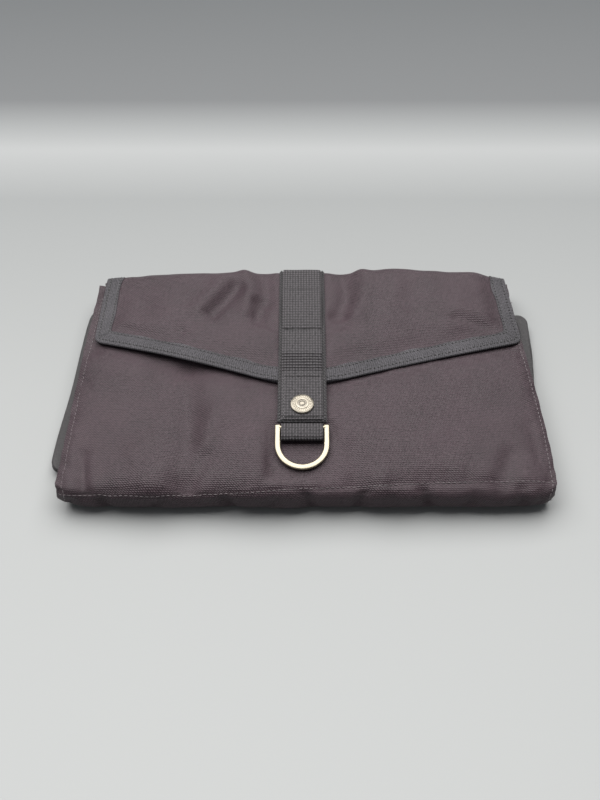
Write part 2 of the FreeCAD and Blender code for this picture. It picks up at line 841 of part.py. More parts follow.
def ring_keeper():
    """The webbing loop that holds the ring: a flat tail under the strap and a rounded eye in front of it."""
    under = f"dims.stack_height + {BASE_LOW} - dims.ply_gap"
    ply = "dims.webbing_thick"
    front, neck, rear = "dims.keeper_front", "dims.keeper_neck", "dims.keeper_rear"
    low, high = "dims.keeper_low", "dims.keeper_high"
    outer = [
        (f"{front} + 1.6", low),
        (neck, low),
        (rear, f"{under} - 2 * {ply}"),
        (rear, under),
        (f"{neck} + 0.1", under),
        (neck, high),
        (f"{front} + 1.6", high),
        (front, f"{high} - 1.6"),
        (front, f"{low} + 1.6"),
    ]
    inner = [
        (f"{front} + {ply} + 0.8", f"{low} + {ply}"),
        (f"{neck} - 0.5", f"{low} + {ply}"),
        (f"{neck} - 0.5", f"{high} - {ply}"),
        (f"{front} + {ply} + 0.8", f"{high} - {ply}"),
        (f"{front} + {ply}", f"{high} - {ply} - 0.8"),
        (f"{front} + {ply}", f"{low} + {ply} + 0.8"),
    ]
    body = padded_outline(
        "keeper_body", "YZ_Plane", [outer, inner], "dims.webbing_width"
    )
    bind(body, x="dims.strap_x")
    keep(body, "ring_keeper")


def d_ring():
    """The D-ring: two arms and a bow of flat band, and a round bar that turns in the keeper."""
    inner, outer = "dims.ring_inner", "(dims.ring_inner + dims.ring_band)"
    reach = "-dims.ring_reach"
    butt = "dims.ring_butt"
    body = padded_outline(
        "ring_band",
        "XY_Plane",
        [
            (
                [
                    (f"-{outer}", butt),
                    (f"-{outer}", reach),
                    (outer, reach),
                    (outer, butt),
                    (inner, butt),
                    (inner, reach),
                    (f"-{inner}", reach),
                    (f"-{inner}", butt),
                ],
                {1: reach, 5: reach},
            )
        ],
        "dims.ring_thick",
    )
    half = float(sheet.evalExpression("dims.ring_thick")) / 2

    def on_a_face(edge):
        return all(abs(abs(vertex.Z) - half) < 0.01 for vertex in edge.Vertexes)

    round_edges(body, on_a_face, "dims.ring_thick / 5")
    bar = cylinder(
        "ring_bar",
        (f"-({inner} + 0.5)", "0", "0"),
        "dims.ring_bar",
        f"2 * ({inner} + 0.5)",
        X_AXIS,
    )
    ring = fuse("ring_whole", body, bar)
    ring.Placement.Rotation = FreeCAD.Rotation(X_AXIS, 1)
    ring.setExpression(".Placement.Rotation.Angle", "dims.ring_tilt")
    bind(ring, x="dims.strap_x", y="dims.ring_axis_y", z="dims.ring_axis_z")
    keep(ring, "d_ring")


# ---------------------------------------------------------------- build, check and write
wrap()
snap_stud()
bag()
sleeves()
facings()
zip_fastener("outer")
zip_fastener("inner")
flap()
strap()
snap_cap()
ring_keeper()
d_ring()
doc.recompute()

for thing in doc.Objects:
    if "Invalid" in thing.State or "Error" in thing.State:
        raise RuntimeError(f"{thing.Name} failed: {thing.State}")
for thing in subparts:
    shape = thing.Shape
    if shape.isNull() or not shape.isValid() or not shape.Solids:
        raise RuntimeError(f"{thing.Label} has no valid solid")
    shape.exportStep(os.path.join("parts", f"{thing.Label}.step"))

whole = Part.makeCompound([thing.Shape for thing in subparts]).BoundBox
print(f"{len(subparts)} sub-parts")
print(f"x {whole.XMin:.2f} to {whole.XMax:.2f}, y {whole.YMin:.2f} to {whole.YMax:.2f}")
print(f"z {whole.ZMin:.2f} to {whole.ZMax:.2f}")
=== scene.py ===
# %% [markdown]
# # A film changing bag, folded for storage
# The bag is a double layer of light-tight cloth, folded flat inside its own padded wrap. This lesson
# dresses a measured model of it. Every length is in metres, X runs across the bag, Y from the front
# spine towards the fold that the flap hangs from, and Z up.

import math

import bmesh
import bpy
import numpy as np
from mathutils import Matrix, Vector
from mathutils.bvhtree import BVHTree


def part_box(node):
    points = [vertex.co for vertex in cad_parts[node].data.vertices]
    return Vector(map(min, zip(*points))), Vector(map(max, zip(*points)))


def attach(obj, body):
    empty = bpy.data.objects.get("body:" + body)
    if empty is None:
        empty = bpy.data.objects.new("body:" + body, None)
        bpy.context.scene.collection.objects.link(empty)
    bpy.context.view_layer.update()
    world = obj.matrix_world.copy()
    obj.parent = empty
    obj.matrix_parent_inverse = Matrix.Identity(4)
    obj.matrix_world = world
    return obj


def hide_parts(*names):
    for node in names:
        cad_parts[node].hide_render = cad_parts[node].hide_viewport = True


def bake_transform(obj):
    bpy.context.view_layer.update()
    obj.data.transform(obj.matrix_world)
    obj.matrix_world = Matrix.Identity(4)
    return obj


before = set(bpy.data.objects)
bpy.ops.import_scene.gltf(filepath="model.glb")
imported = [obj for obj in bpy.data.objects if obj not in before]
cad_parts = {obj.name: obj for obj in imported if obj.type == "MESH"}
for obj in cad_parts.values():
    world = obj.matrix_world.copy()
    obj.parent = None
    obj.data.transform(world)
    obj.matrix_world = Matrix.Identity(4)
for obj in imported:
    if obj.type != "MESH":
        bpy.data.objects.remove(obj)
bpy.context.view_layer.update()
wrap_low, wrap_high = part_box("wrap_shell")
print("the wrap is", [round(v, 4) for v in (wrap_high - wrap_low)], "m")

# %% [markdown]
# ## The view, the table and the light
# The camera stands above and in front of the bag and looks down at 52 degrees. The table is one wide
# plane; its colour carries painted shade, darker in soft bands behind the bag, as a paper sweep looks
# where it turns up away from the light.

# %% Camera
camera = bpy.data.objects.new("camera", bpy.data.cameras.new("camera"))
camera.location = (-0.0043, -0.428, 0.542)
camera.rotation_euler = (math.radians(38), 0, 0)
camera.data.lens = 48.06
camera.data.clip_start = 0.01
bpy.context.scene.collection.objects.link(camera)
bpy.context.scene.camera = camera


# %% A first material helper
def new_material(name):
    """Returns a node material, its tree, its main shader and a function that adds a node."""
    material = bpy.data.materials.new(name)
    material.use_nodes = True
    tree = material.node_tree
    shader = tree.nodes["Principled BSDF"]

    def add(kind, **settings):
        node = tree.nodes.new(kind)
        for key, value in settings.items():
            if hasattr(node, key):
                setattr(node, key, value)
            else:
                node.inputs[key.replace("_", " ")].default_value = value
        return node

    return material, tree, shader, add


def ramp_of(add, *stops):
    """A colour ramp with its stops, each a place from 0 to 1 and a colour."""
    ramp = add("ShaderNodeValToRGB")
    while len(ramp.color_ramp.elements) < len(stops):
        ramp.color_ramp.elements.new(0.5)
    for element, (place, colour) in zip(ramp.color_ramp.elements, stops):
        element.position = place
        element.color = (*colour, 1)
    return ramp


# %% Table
paper, tree, shader, add = new_material("sweep_paper_painted_shade")
place = add("ShaderNodeTexCoord")
split = add("ShaderNodeSeparateXYZ")
span = add("ShaderNodeMapRange", From_Min=-0.6, From_Max=0.6)
# Painted shade: the table's colour gets darker in bands towards the rear, where a sweep would turn up out
# of the light.
shade = ramp_of(
    add,
    (0.25, (0.43, 0.44, 0.438)),
    (0.50, (0.335, 0.343, 0.342)),
    (0.656, (0.251, 0.259, 0.260)),
    (0.705, (0.327, 0.334, 0.336)),
    (0.7275, (0.248, 0.256, 0.258)),
    (0.758, (0.138, 0.143, 0.147)),
    (0.90, (0.101, 0.107, 0.111)),
)
tree.links.new(place.outputs["Object"], split.inputs[0])
tree.links.new(split.outputs["Y"], span.inputs["Value"])
tree.links.new(span.outputs[0], shade.inputs[0])
tree.links.new(shade.outputs[0], shader.inputs["Base Color"])
shader.inputs["Roughness"].default_value = 0.55
shader.inputs["Specular IOR Level"].default_value = 0.25

bpy.ops.mesh.primitive_plane_add(size=8)
table = bpy.context.object
table.name = "table"
table.data.materials.append(paper)


# %% Lights
def soft_light(name, place, aim, size, power, tint):
    """A rectangular lamp that looks from its place at a point."""
    lamp = bpy.data.lights.new(name, "AREA")
    lamp.shape = "RECTANGLE"
    lamp.size, lamp.size_y = size
    lamp.energy = power
    lamp.color = tint
    holder = bpy.data.objects.new(name, lamp)
    holder.location = place
    direction = Vector(aim) - Vector(place)
    holder.rotation_euler = direction.to_track_quat("-Z", "Y").to_euler()
    bpy.context.scene.collection.objects.link(holder)


soft_light("rear_softbox", (-0.15, 0.72, 1.62), (0, 0, 0), (3.0, 2.0), 88, (1, 0.99, 0.975))
world = bpy.data.worlds.new("room")
world.use_nodes = True
room_light = world.node_tree.nodes["Background"]
room_light.inputs["Color"].default_value = (0.93, 0.96, 1, 1)
room_light.inputs["Strength"].default_value = 0.19
bpy.context.scene.world = world
bpy.context.scene.view_settings.view_transform = "Standard"

# %% [markdown]
# ## Cloth as a grid of points
# Each piece of cloth starts as rows and columns of points, because its shape follows a rule: it lies
# on the same pillow as the measured solids. The UV map holds the cloth's own coordinates in metres,
# so a weave keeps its true size and follows the cloth round every fold.


# %% From points to a mesh
def cloth(name, points, weave, flip=False):
    """A mesh from rows x columns of points, with the UV map "weave" in metres."""
    rows, columns = points.shape[:2]
    index = np.arange(rows * columns).reshape(rows, columns)
    corners = [index[:-1, :-1], index[:-1, 1:], index[1:, 1:], index[1:, :-1]]
    faces = np.stack([c.ravel() for c in (corners[::-1] if flip else corners)], 1)
    mesh = bpy.data.meshes.new(name)
    mesh.from_pydata(points.reshape(-1, 3).tolist(), [], faces.tolist())
    layer = mesh.uv_layers.new(name="weave")
    layer.data.foreach_set("uv", weave.reshape(-1, 2)[faces.ravel()].astype(np.float32).ravel())
    mesh.shade_smooth()
    piece = bpy.data.objects.new(name, mesh)
    bpy.context.scene.collection.objects.link(piece)
    return piece


def settle(piece):
    """Turns a piece's modifiers into plain mesh."""
    depsgraph = bpy.context.evaluated_depsgraph_get()
    mesh = bpy.data.meshes.new_from_object(piece.evaluated_get(depsgraph))
    piece.modifiers.clear()
    piece.data = mesh
    return piece


def thicken(piece, thickness, edge=0.0, sharp=50, padding=""):
    """Gives cloth its thickness, on the side away from its normals, and rounds its cut edges."""
    solid = piece.modifiers.new("thickness", "SOLIDIFY")
    solid.thickness = thickness
    solid.offset = -1
    solid.vertex_group = padding
    solid.material_offset = 1 if len(piece.data.materials) > 1 else 0
    if edge:
        bevel = piece.modifiers.new("edge", "BEVEL")
        bevel.width = edge
        bevel.segments = 3
        bevel.limit_method = "ANGLE"
        bevel.angle_limit = math.radians(sharp)
    settle(piece)
    piece.data.set_sharp_from_angle(angle=math.radians(sharp))
    return piece


# %% The pillow under the cloth
HALF, FRONT, REAR, TOP = wrap_high.x, wrap_low.y, wrap_high.y, wrap_high.z
CROWN = 0.0065  # how much higher the middle is than the two ends
CROWN_RADIUS = (HALF**2 + CROWN**2) / (2 * CROWN)
SHOULDER, SHOULDER_END = 0.0205, -0.048  # the top slopes down to the front spine


def soft_min(a, b, k):
    """The smaller of two values, rounded over a distance k where they cross."""
    h = np.clip(0.5 + 0.5 * (b - a) / k, 0, 1)
    return b * (1 - h) + a * h - k * h * (1 - h)


def rise(value, start, end):
    """A smooth step from 0 to 1."""
    t = np.clip((value - start) / (end - start), 0, 1)
    return t * t * (3 - 2 * t)


def panel_height(x, y):
    """Height of the front panel's top face."""
    crown = TOP - CROWN_RADIUS + np.sqrt(CROWN_RADIUS**2 - np.square(x))
    slope = SHOULDER + (y - FRONT) * (TOP + 0.001 - SHOULDER) / (SHOULDER_END - FRONT)
    return soft_min(crown, slope, 0.0015)


TURN_Y, TURN_R = 0.0809, 0.003  # where the flap starts to turn down behind the bag
TURN_RUN = 0.0066 * math.pi / 2


def over_bag(x, run, lift):
    """A point over the bag: run is y on the top, and goes on round the rear fold and down."""
    x, run, lift = np.broadcast_arrays(*(np.asarray(a, float) for a in (x, run, lift)))
    edge = panel_height(x, TURN_Y)
    centre = edge - TURN_R
    angle = np.clip((run - TURN_Y) / TURN_RUN, 0, 1) * math.pi / 2
    down = np.maximum(run - TURN_Y - TURN_RUN, 0)
    radius = TURN_R + lift
    top = run < TURN_Y
    y = np.where(top, run, TURN_Y + radius * np.sin(angle))
    z = np.where(top, panel_height(x, run) + lift, centre + radius * np.cos(angle) - down)
    return np.stack([x, y, z], -1)


def run_at(x, z):
    """How far along the run the cloth behind the bag comes down to a height z."""
    return TURN_Y + TURN_RUN + panel_height(x, TURN_Y) - TURN_R - z


# %% [markdown]
# ## Folds
# Real cloth is never flat. A crease is a soft groove or ridge along a short path, and a ripple is a
# sum of a few slow waves with fixed directions, so the cloth looks the same on every run.


# %% Creases and ripples
def crease(x, y, path, width, depth):
    """One groove or ridge that fades away on both sides of its path."""
    best = np.full(np.broadcast(x, y).shape, 1e9)
    for (ax, ay), (bx, by) in zip(path, path[1:]):
        dx, dy = bx - ax, by - ay
        t = np.clip(((x - ax) * dx + (y - ay) * dy) / (dx * dx + dy * dy), 0, 1)
        best = np.minimum(best, np.hypot(x - ax - t * dx, y - ay - t * dy))
    return depth * np.exp(-((best / width) ** 2))


def creases(x, y, listed):
    """Adds up creases that are listed in millimetres: path, width, depth."""
    total = np.zeros(np.broadcast(x, y).shape)
    for path, width, depth in listed:
        metres = [(u / 1000, v / 1000) for u, v in path]
        total += crease(x, y, metres, width / 1000, depth / 1000)
    return total


def ripple(x, y, size, seed):
    """A slow random wave between about -1 and 1."""
    dice = np.random.default_rng(seed)
    total = 0
    for _ in range(7):
        turn, phase, stretch = dice.random(3) * (math.tau, math.tau, 0.8)
        k = math.tau / (size * (0.7 + stretch))
        total = total + np.sin(k * (x * math.cos(turn) + y * math.sin(turn)) + phase)
    return total / 4


def normals_of(points):
    """The surface's unit normals at the points of a grid."""
    across = np.gradient(points, axis=1)
    along = np.gradient(points, axis=0)
    normal = np.cross(across, along)
    return normal / np.maximum(np.linalg.norm(normal, axis=-1, keepdims=True), 1e-12)


# %% [markdown]
# ## Letting the cloth settle
# Nylon over wadding puffs up between its seams and puckers beside them. A coarse copy of the cloth,
# ten times as large, is cut a little too big, held where it is sewn and blown up gently. What moves
# along the surface's normal is then added to the fine grid. Cloth solvers work best near one metre,
# which is why the copy is enlarged.


# %% Cloth simulation on a coarse copy
ENLARGED, SETTLING_FRAMES = 10, 24


def settled(points, sewn, growth, pressure, cap):
    """How far each point of a grid moves along its normal when the cloth is let go."""
    rows, columns = points.shape[:2]
    pick_rows = np.unique(np.append(np.arange(0, rows, 2), rows - 1))
    pick_columns = np.unique(np.append(np.arange(0, columns, 2), columns - 1))
    coarse = points[np.ix_(pick_rows, pick_columns)]
    held = sewn[np.ix_(pick_rows, pick_columns)]
    normal = normals_of(coarse)
    if normal[len(pick_rows) // 2, len(pick_columns) // 2, 2] < 0:
        normal = -normal
    copy = cloth("settling", coarse * ENLARGED, coarse[..., :2], flip=True)
    group = copy.vertex_groups.new(name="sewn")
    group.add([int(i) for i in np.flatnonzero(held)], 1.0, "REPLACE")
    solver = copy.modifiers.new("cloth", "CLOTH")
    solver.settings.quality = 7
    solver.settings.mass = 0.1
    solver.settings.tension_stiffness = 20
    solver.settings.compression_stiffness = 20
    solver.settings.shear_stiffness = 8
    solver.settings.bending_stiffness = 0.6
    solver.settings.air_damping = 4
    solver.settings.vertex_group_mass = "sewn"
    solver.settings.shrink_min = -growth
    solver.settings.use_pressure = True
    solver.settings.uniform_pressure_force = pressure
    solver.settings.effector_weights.gravity = 0
    for number in range(1, SETTLING_FRAMES + 1):
        bpy.context.scene.frame_set(number)
    shape = copy.evaluated_get(bpy.context.evaluated_depsgraph_get()).data
    moved = np.empty(len(shape.vertices) * 3)
    shape.vertices.foreach_get("co", moved)
    moved = moved.reshape(coarse.shape) / ENLARGED
    bpy.context.scene.frame_set(1)
    bpy.data.objects.remove(copy)
    lift = np.einsum("ijk,ijk->ij", moved - coarse, normal)
    lift = np.clip(lift, -cap[0], cap[1])
    print("the cloth moved", round(lift.min() * 1000, 2), "to", round(lift.max() * 1000, 2), "mm")
    fine = np.array([np.interp(np.arange(columns), pick_columns, line) for line in lift])
    fine = np.array([np.interp(np.arange(rows), pick_rows, line) for line in fine.T]).T
    return soften(fine, 2)


def soften(field, times):
    """Averages a grid with its neighbours."""
    for _ in range(times):
        wide = np.pad(field, 1, mode="edge")
        beside = wide[:-2, 1:-1] + wide[2:, 1:-1] + wide[1:-1, :-2] + wide[1:-1, 2:]
        field = (beside + 4 * field) / 8
    return field


# %% [markdown]
# ## The wrap
# One padded panel goes from the free edge under the flap, forwards over the bag, round the front
# spine, back underneath and up the rear wall. Its outside is twill and its inside lining.

# %% The flap's outline, which the wrap has to clear
HEM_LEFT, HEM_RIGHT, HEM_Y, TIP = -0.1368, 0.1385, 0.027, (-0.003, -0.016)
REAR_IN_LEFT, REAR_IN_RIGHT, DRAWN_IN = 0.0025, 0.0048, 0.055
FLAP_TOP, FLAP_UNDER = 0.0036, 0.0012


def flap_sides(run):
    """Left and right edges of the flap, a little narrower at the rear fold."""
    part = np.clip((np.asarray(run) - HEM_Y) / DRAWN_IN, 0, 1)
    return HEM_LEFT + REAR_IN_LEFT * part, HEM_RIGHT - REAR_IN_RIGHT * part


def hem_y(x):
    """Where the pointed hem lies: two straight runs that meet at the tip."""
    return np.where(
        x < TIP[0],
        HEM_Y + (TIP[1] - HEM_Y) * (x - HEM_LEFT) / (TIP[0] - HEM_LEFT),
        TIP[1] + (HEM_Y - TIP[1]) * (x - TIP[0]) / (HEM_RIGHT - TIP[0]),
    )


def ring_room(x, run, reach, softness):
    """1 under the ring, where the panel stays flat, and 0 away from it."""
    beside = rise(reach - np.abs(x - TIP[0]), 0, softness)
    return beside * rise(-run, 0.038, 0.046) * rise(run, -0.086, -0.078)


# %% Wrap, row by row
MOUTH = 0.067  # the panel's free edge, under the flap
WALL_TOP = wrap_high.z - 0.0092
CORNER, UNDER_CORNER = 0.006, 0.009
PANEL_ROWS, UNDER_ROWS, WALL_ROWS = 80, 40, 9
ACROSS = np.linspace(0, 1, 147)
REAR_SHARE = 0.945  # the underside is narrower at the rear wall
EDGE_Y = [-0.0907, -0.083, -0.055, -0.017, 0.027, 0.067]
LEFT_X = [-0.1476, -0.1480, -0.1466, -0.1450, -0.1434, -0.1405]
RIGHT_X = [0.1462, 0.1467, 0.1464, 0.1440, 0.1398, 0.1362]


def panel_sides(y):
    """The front panel's left and right edges, which draw in towards the rear."""
    return np.interp(y, EDGE_Y, LEFT_X), np.interp(y, EDGE_Y, RIGHT_X)


def underside(x, y):
    """The front spine stands a little off the table, most at its right end."""
    ends = 0.0030 * rise(-x, 0.122, 0.145) * rise(-y, 0.056, 0.083)
    toe = 0.0014 + 0.0030 * rise(x, -0.02, 0.12)
    return ends + toe * rise(-y, 0.058, 0.082)


def corner_cut(x):
    """The front corners are round, seen from above."""
    past = np.clip((np.abs(x) - 0.127) / 0.0195, 0, 1)
    return np.where(x > 0, 0.0085, 0.0070) * (1 - np.sqrt(1 - past**2 * 0.96))


def spread(left, right):
    return left + ACROSS * (right - left)


def wrap_rows():
    """Rows of points round the wrap's section, and how far along the cloth each row lies."""
    rows, runs = [], []

    def row(x, y, z, run):
        rows.append(np.stack(np.broadcast_arrays(x, y, z), -1))
        runs.append(run)

    x = spread(*panel_sides(MOUTH))
    mouth_ends = 0.0135 * rise(np.abs(x), 0.124, 0.137)
    front_cut = 0.6 * corner_cut(spread(*panel_sides(FRONT)))
    for part in np.linspace(0, 1, PANEL_ROWS):
        y = MOUTH + (FRONT + CORNER - MOUTH) * part
        y = y + mouth_ends * (1 - part) + front_cut * rise(part, 0.86, 1.0)
        x = spread(*panel_sides(y))
        height = panel_height(x, y) - 0.0016 * rise(y, 0.066, 0.080)
        row(x, y, height, MOUTH * (1 - part) + (FRONT + CORNER) * part)
    run = FRONT + CORNER
    x = spread(*panel_sides(FRONT))
    top = panel_height(x, FRONT + CORNER)
    for angle in np.linspace(0, math.pi / 2, 9)[1:]:
        y = FRONT + CORNER - CORNER * math.sin(angle)
        y = y + corner_cut(x) * (0.6 + 0.4 * math.sin(angle))
        row(x, y, top - CORNER + CORNER * math.cos(angle), run - CORNER * angle)
    run -= CORNER * math.pi / 2
    for part in (0.2, 0.4, 0.6, 0.8, 1.0):
        y = FRONT + corner_cut(x)
        row(x, y, (top - CORNER) * (1 - part) + UNDER_CORNER * part, run - 0.006 * part)
    run -= 0.006
    x = spread(-HALF, HALF)
    for angle in np.linspace(0, math.pi / 2, 7)[1:]:
        y = FRONT + UNDER_CORNER * (1 - math.cos(angle)) + corner_cut(x) * math.cos(angle)
        lifted = underside(x, FRONT) * math.sin(angle)
        row(x, y, UNDER_CORNER * (1 - math.sin(angle)) + lifted, run - UNDER_CORNER * angle)
    run -= UNDER_CORNER * math.pi / 2
    for y in np.linspace(FRONT + UNDER_CORNER, REAR - CORNER, UNDER_ROWS)[1:]:
        narrowed = x * (1 - (1 - REAR_SHARE) * rise(y, 0.045, REAR))
        row(narrowed, y, underside(x, y), run - (y - FRONT - UNDER_CORNER))
    x = x * REAR_SHARE
    run -= REAR - FRONT - CORNER - UNDER_CORNER
    for angle in np.linspace(0, math.pi / 2, 8)[1:]:
        y = REAR - CORNER + CORNER * math.sin(angle)
        row(x, y, CORNER - CORNER * math.cos(angle), run - CORNER * angle)
    run -= CORNER * math.pi / 2
    ends = rise(np.abs(x), 0.122, 0.1385)
    for part in np.linspace(0, 1, WALL_ROWS)[1:]:
        z = CORNER + (WALL_TOP - CORNER + 0.001 * ends) * part
        row(x, REAR - 0.0045 * ends * part**2, z, run - (WALL_TOP - CORNER) * part)
    return np.array(rows), np.array(runs)


# %% Wrap, creased
PANEL_CREASES = [
    ([(-76, 2), (-73, -22), (-70, -58), (-73, -84)], 9, -3.0),
    ([(-56, -34), (-62, -60), (-66, -74)], 7, 1.9),
    ([(-60, -66), (-70, -87)], 5, -2.2),
    ([(-134, -62), (-130, -92)], 3.6, -2.4),
    ([(-96, 8), (-66, 2)], 10, -1.5),
    ([(-116, -16), (-100, -60)], 18, 0.8),
    ([(-40, -40), (-34, -80)], 13, 0.8),
    ([(-100, -58), (-92, -86)], 7, 0.6),
    ([(120, -64), (113, -88)], 6, -1.9),
    ([(56, -28), (78, -64)], 20, 0.9),
    ([(100, 2), (124, -40)], 16, 0.5),
    ([(26, -62), (31, -88)], 7, -1.3),
    ([(136, -40), (139, -74)], 4, -0.9),
    ([(-146, -8), (-137, -12)], 3, -0.8),
    ([(-147, -66), (-138, -74)], 3, -0.8),
]
SPINE_CREASES = [
    ([(-138, -90), (-141, -106)], 2.6, -1.2),
    ([(-122, -89), (-118, -106)], 3.2, -2.4),
    ([(-84, -93), (-92, -105)], 4, -1.0),
    ([(-50, -90), (-44, -106)], 3.4, -2.3),
    ([(-20, -95), (-26, -106)], 4, -0.8),
    ([(-2, -87), (4, -106)], 3.2, -2.5),
    ([(34, -86), (29, -106)], 3.2, -2.3),
    ([(50, -94), (54, -106)], 4, -0.9),
    ([(67, -85), (73, -106)], 3.4, -2.5),
    ([(98, -90), (93, -106)], 4, -1.3),
    ([(125, -86), (128, -106)], 3.6, -1.6),
    ([(138, -88), (136, -104)], 2.6, -1.2),
]
SPINE_LINE = [
    (-0.1465, -0.0892),
    (-0.093, -0.0915),
    (-0.041, -0.0895),
    (-0.010, -0.0866),
    (0.006, -0.0864),
    (0.069, -0.0830),
    (0.1445, -0.0803),
]


def below_spine(x, run):
    """How far in front of the spine's seam a point lies."""
    return np.interp(x, *zip(*SPINE_LINE)) - run


def panel_relief(x, run):
    """Creases, ripples and stitched grooves over the panel and the front spine."""
    left, right = panel_sides(run)
    inside = np.minimum(x - left, right - x)
    relief = 0.0006 * ripple(x, run, 0.05, 3) + 0.00018 * ripple(x, run, 0.013, 4)
    relief = relief + creases(x, run, PANEL_CREASES)
    below = below_spine(x, run)
    spine = np.clip(below / 0.004, 0, 1) * np.clip((0.022 - below) / 0.006, 0, 1)
    relief = relief + spine * (creases(x, run, SPINE_CREASES) - 0.0004)
    room = ring_room(x, run, 0.024, 0.006)
    relief = relief * (1 - room) - 0.0004 * room
    relief = relief - 0.0007 * np.exp(-((below / 0.0013) ** 2))
    relief = relief - 0.0005 * np.exp(-(((inside - 0.0034) / 0.0013) ** 2))
    relief = relief + 0.0006 * rise(0.006 - inside, 0, 0.006) * ripple(x, run, 0.011, 9)
    under_flap = rise(run, 0.004, 0.024) * rise(inside, 0.003, 0.008)
    return relief * (1 - under_flap) - 0.0006 * under_flap


points, runs = wrap_rows()
run_grid = np.repeat(runs[:, None], points.shape[1], 1)
relief = panel_relief(points[..., 0], run_grid)
relief *= np.clip((points[..., 2] - 0.002) / 0.005, 0, 1)
outward = normals_of(points)
if outward[PANEL_ROWS // 2, len(ACROSS) // 2, 2] < 0:
    outward = -outward
points += outward * relief[..., None]

# %% Wrap, settled
loose_rows = int(np.argmax(runs < FRONT - 0.016))
x, run = points[:loose_rows, :, 0], run_grid[:loose_rows]
sewn = (run > hem_y(x) - 0.007) | (run < runs[loose_rows - 2])
sewn |= np.abs(below_spine(x, run)) < 0.0013
sewn |= np.hypot(x + 0.003, run + 0.033) < 0.007
sewn[:, :2] = sewn[:, -2:] = True
puff = settled(points[:loose_rows], sewn, 0.020, 5, (0.0012, 0.0016))
puff *= 1 - ring_room(x, run, 0.026, 0.010)
puff *= 1 - 0.65 * rise(below_spine(x, run), 0, 0.003)
points[:loose_rows] += outward[:loose_rows] * puff[..., None]
wrap = cloth("wrap", points, np.stack([points[..., 0], run_grid], -1), flip=True)
print("the wrap is a grid of", points.shape[:2], "points,", round(runs[0] - runs[-1], 3), "m long")


# %% [markdown]
# ## Woven materials
# A weave is two sets of fine bands in the cloth's own coordinates. The bands raise the surface and
# darken the gaps a little, and slower noise makes the cloth look handled. Sheen gives the soft rim
# that nylon has.


# %% A woven cloth
def bands(add, link, place, direction, size):
    """Fine bands across the cloth, one every size metres."""
    wave = add("ShaderNodeTexWave", wave_type="BANDS", wave_profile="SIN", bands_direction=direction)
    spread = 10 if direction == "DIAGONAL" else 20
    wave.inputs["Scale"].default_value = math.tau / (spread * size)
    wave.inputs["Distortion"].default_value = 0.35
    wave.inputs["Detail"].default_value = 0
    link(place.outputs[0], wave.inputs["Vector"])
    return wave.outputs["Fac"]


def weighted(add, link, *parts):
    """Adds up grey values, each with its weight."""
    total = None
    for output, weight in parts:
        step = add("ShaderNodeMath", operation="MULTIPLY_ADD")
        step.inputs[1].default_value = weight
        step.inputs[2].default_value = 0
        link(output, step.inputs[0])
        if total:
            link(total, step.inputs[2])
        total = step.outputs[0]
    return total


def woven(name, dark, light, warp, weft, slant="X", rough=0.5, **finish):
    """warp and weft are each a rib's width in metres and its share of the pattern."""
    sheen, depth = finish.get("sheen", 0.12), finish.get("depth", 0.5)
    mottle, grain = finish.get("mottle", 0.35), finish.get("grain", (480, 950))
    material, tree, shader, add = new_material(name)
    link = tree.links.new
    place = add("ShaderNodeUVMap", uv_map="weave")
    solid = add("ShaderNodeTexCoord")
    cloud = add("ShaderNodeTexNoise", Scale=34.0, Detail=5.0, Roughness=0.6)
    drawn = add("ShaderNodeVectorMath", operation="MULTIPLY")
    drawn.inputs[1].default_value = (grain[0], grain[1], 1)
    fleck = add("ShaderNodeTexNoise", Scale=1.0, Detail=2.0, Roughness=0.6)
    link(solid.outputs["Object"], cloud.inputs["Vector"])
    link(place.outputs[0], drawn.inputs[0])
    link(drawn.outputs[0], fleck.inputs["Vector"])
    ribs = bands(add, link, place, slant, warp[0])
    picks = bands(add, link, place, "Y", weft[0])
    crossing = add("ShaderNodeMath", operation="MULTIPLY")
    link(ribs, crossing.inputs[0])
    link(picks, crossing.inputs[1])
    share = warp[1] + weft[1]
    threads = weighted(
        add,
        link,
        (ribs, warp[1] * 0.5),
        (picks, weft[1] * 0.5),
        (crossing.outputs[0], share * 0.8),
        (fleck.outputs["Fac"], 1.4),
    )
    height = weighted(add, link, (cloud.outputs["Fac"], mottle), (threads, 1.0))
    tone = add("ShaderNodeMapRange", From_Min=0.62 + mottle * 0.34)
    tone.inputs["From Max"].default_value = share * 0.9 + 0.74 + mottle * 0.66
    link(height, tone.inputs["Value"])
    shades = ramp_of(add, (0.0, dark), (1.0, light))
    link(tone.outputs[0], shades.inputs[0])
    link(shades.outputs[0], shader.inputs["Base Color"])
    bump = add("ShaderNodeBump", Strength=depth, Distance=0.00025)
    link(threads, bump.inputs["Height"])
    link(bump.outputs[0], shader.inputs["Normal"])
    worn = add("ShaderNodeMapRange", From_Min=0.3, From_Max=0.7, To_Min=rough - 0.05, To_Max=rough + 0.07)
    link(cloud.outputs["Fac"], worn.inputs["Value"])
    link(worn.outputs[0], shader.inputs["Roughness"])
    shader.inputs["Specular IOR Level"].default_value = 0.3
    shader.inputs["Sheen Weight"].default_value = sheen
    shader.inputs["Sheen Roughness"].default_value = 0.4
    return material


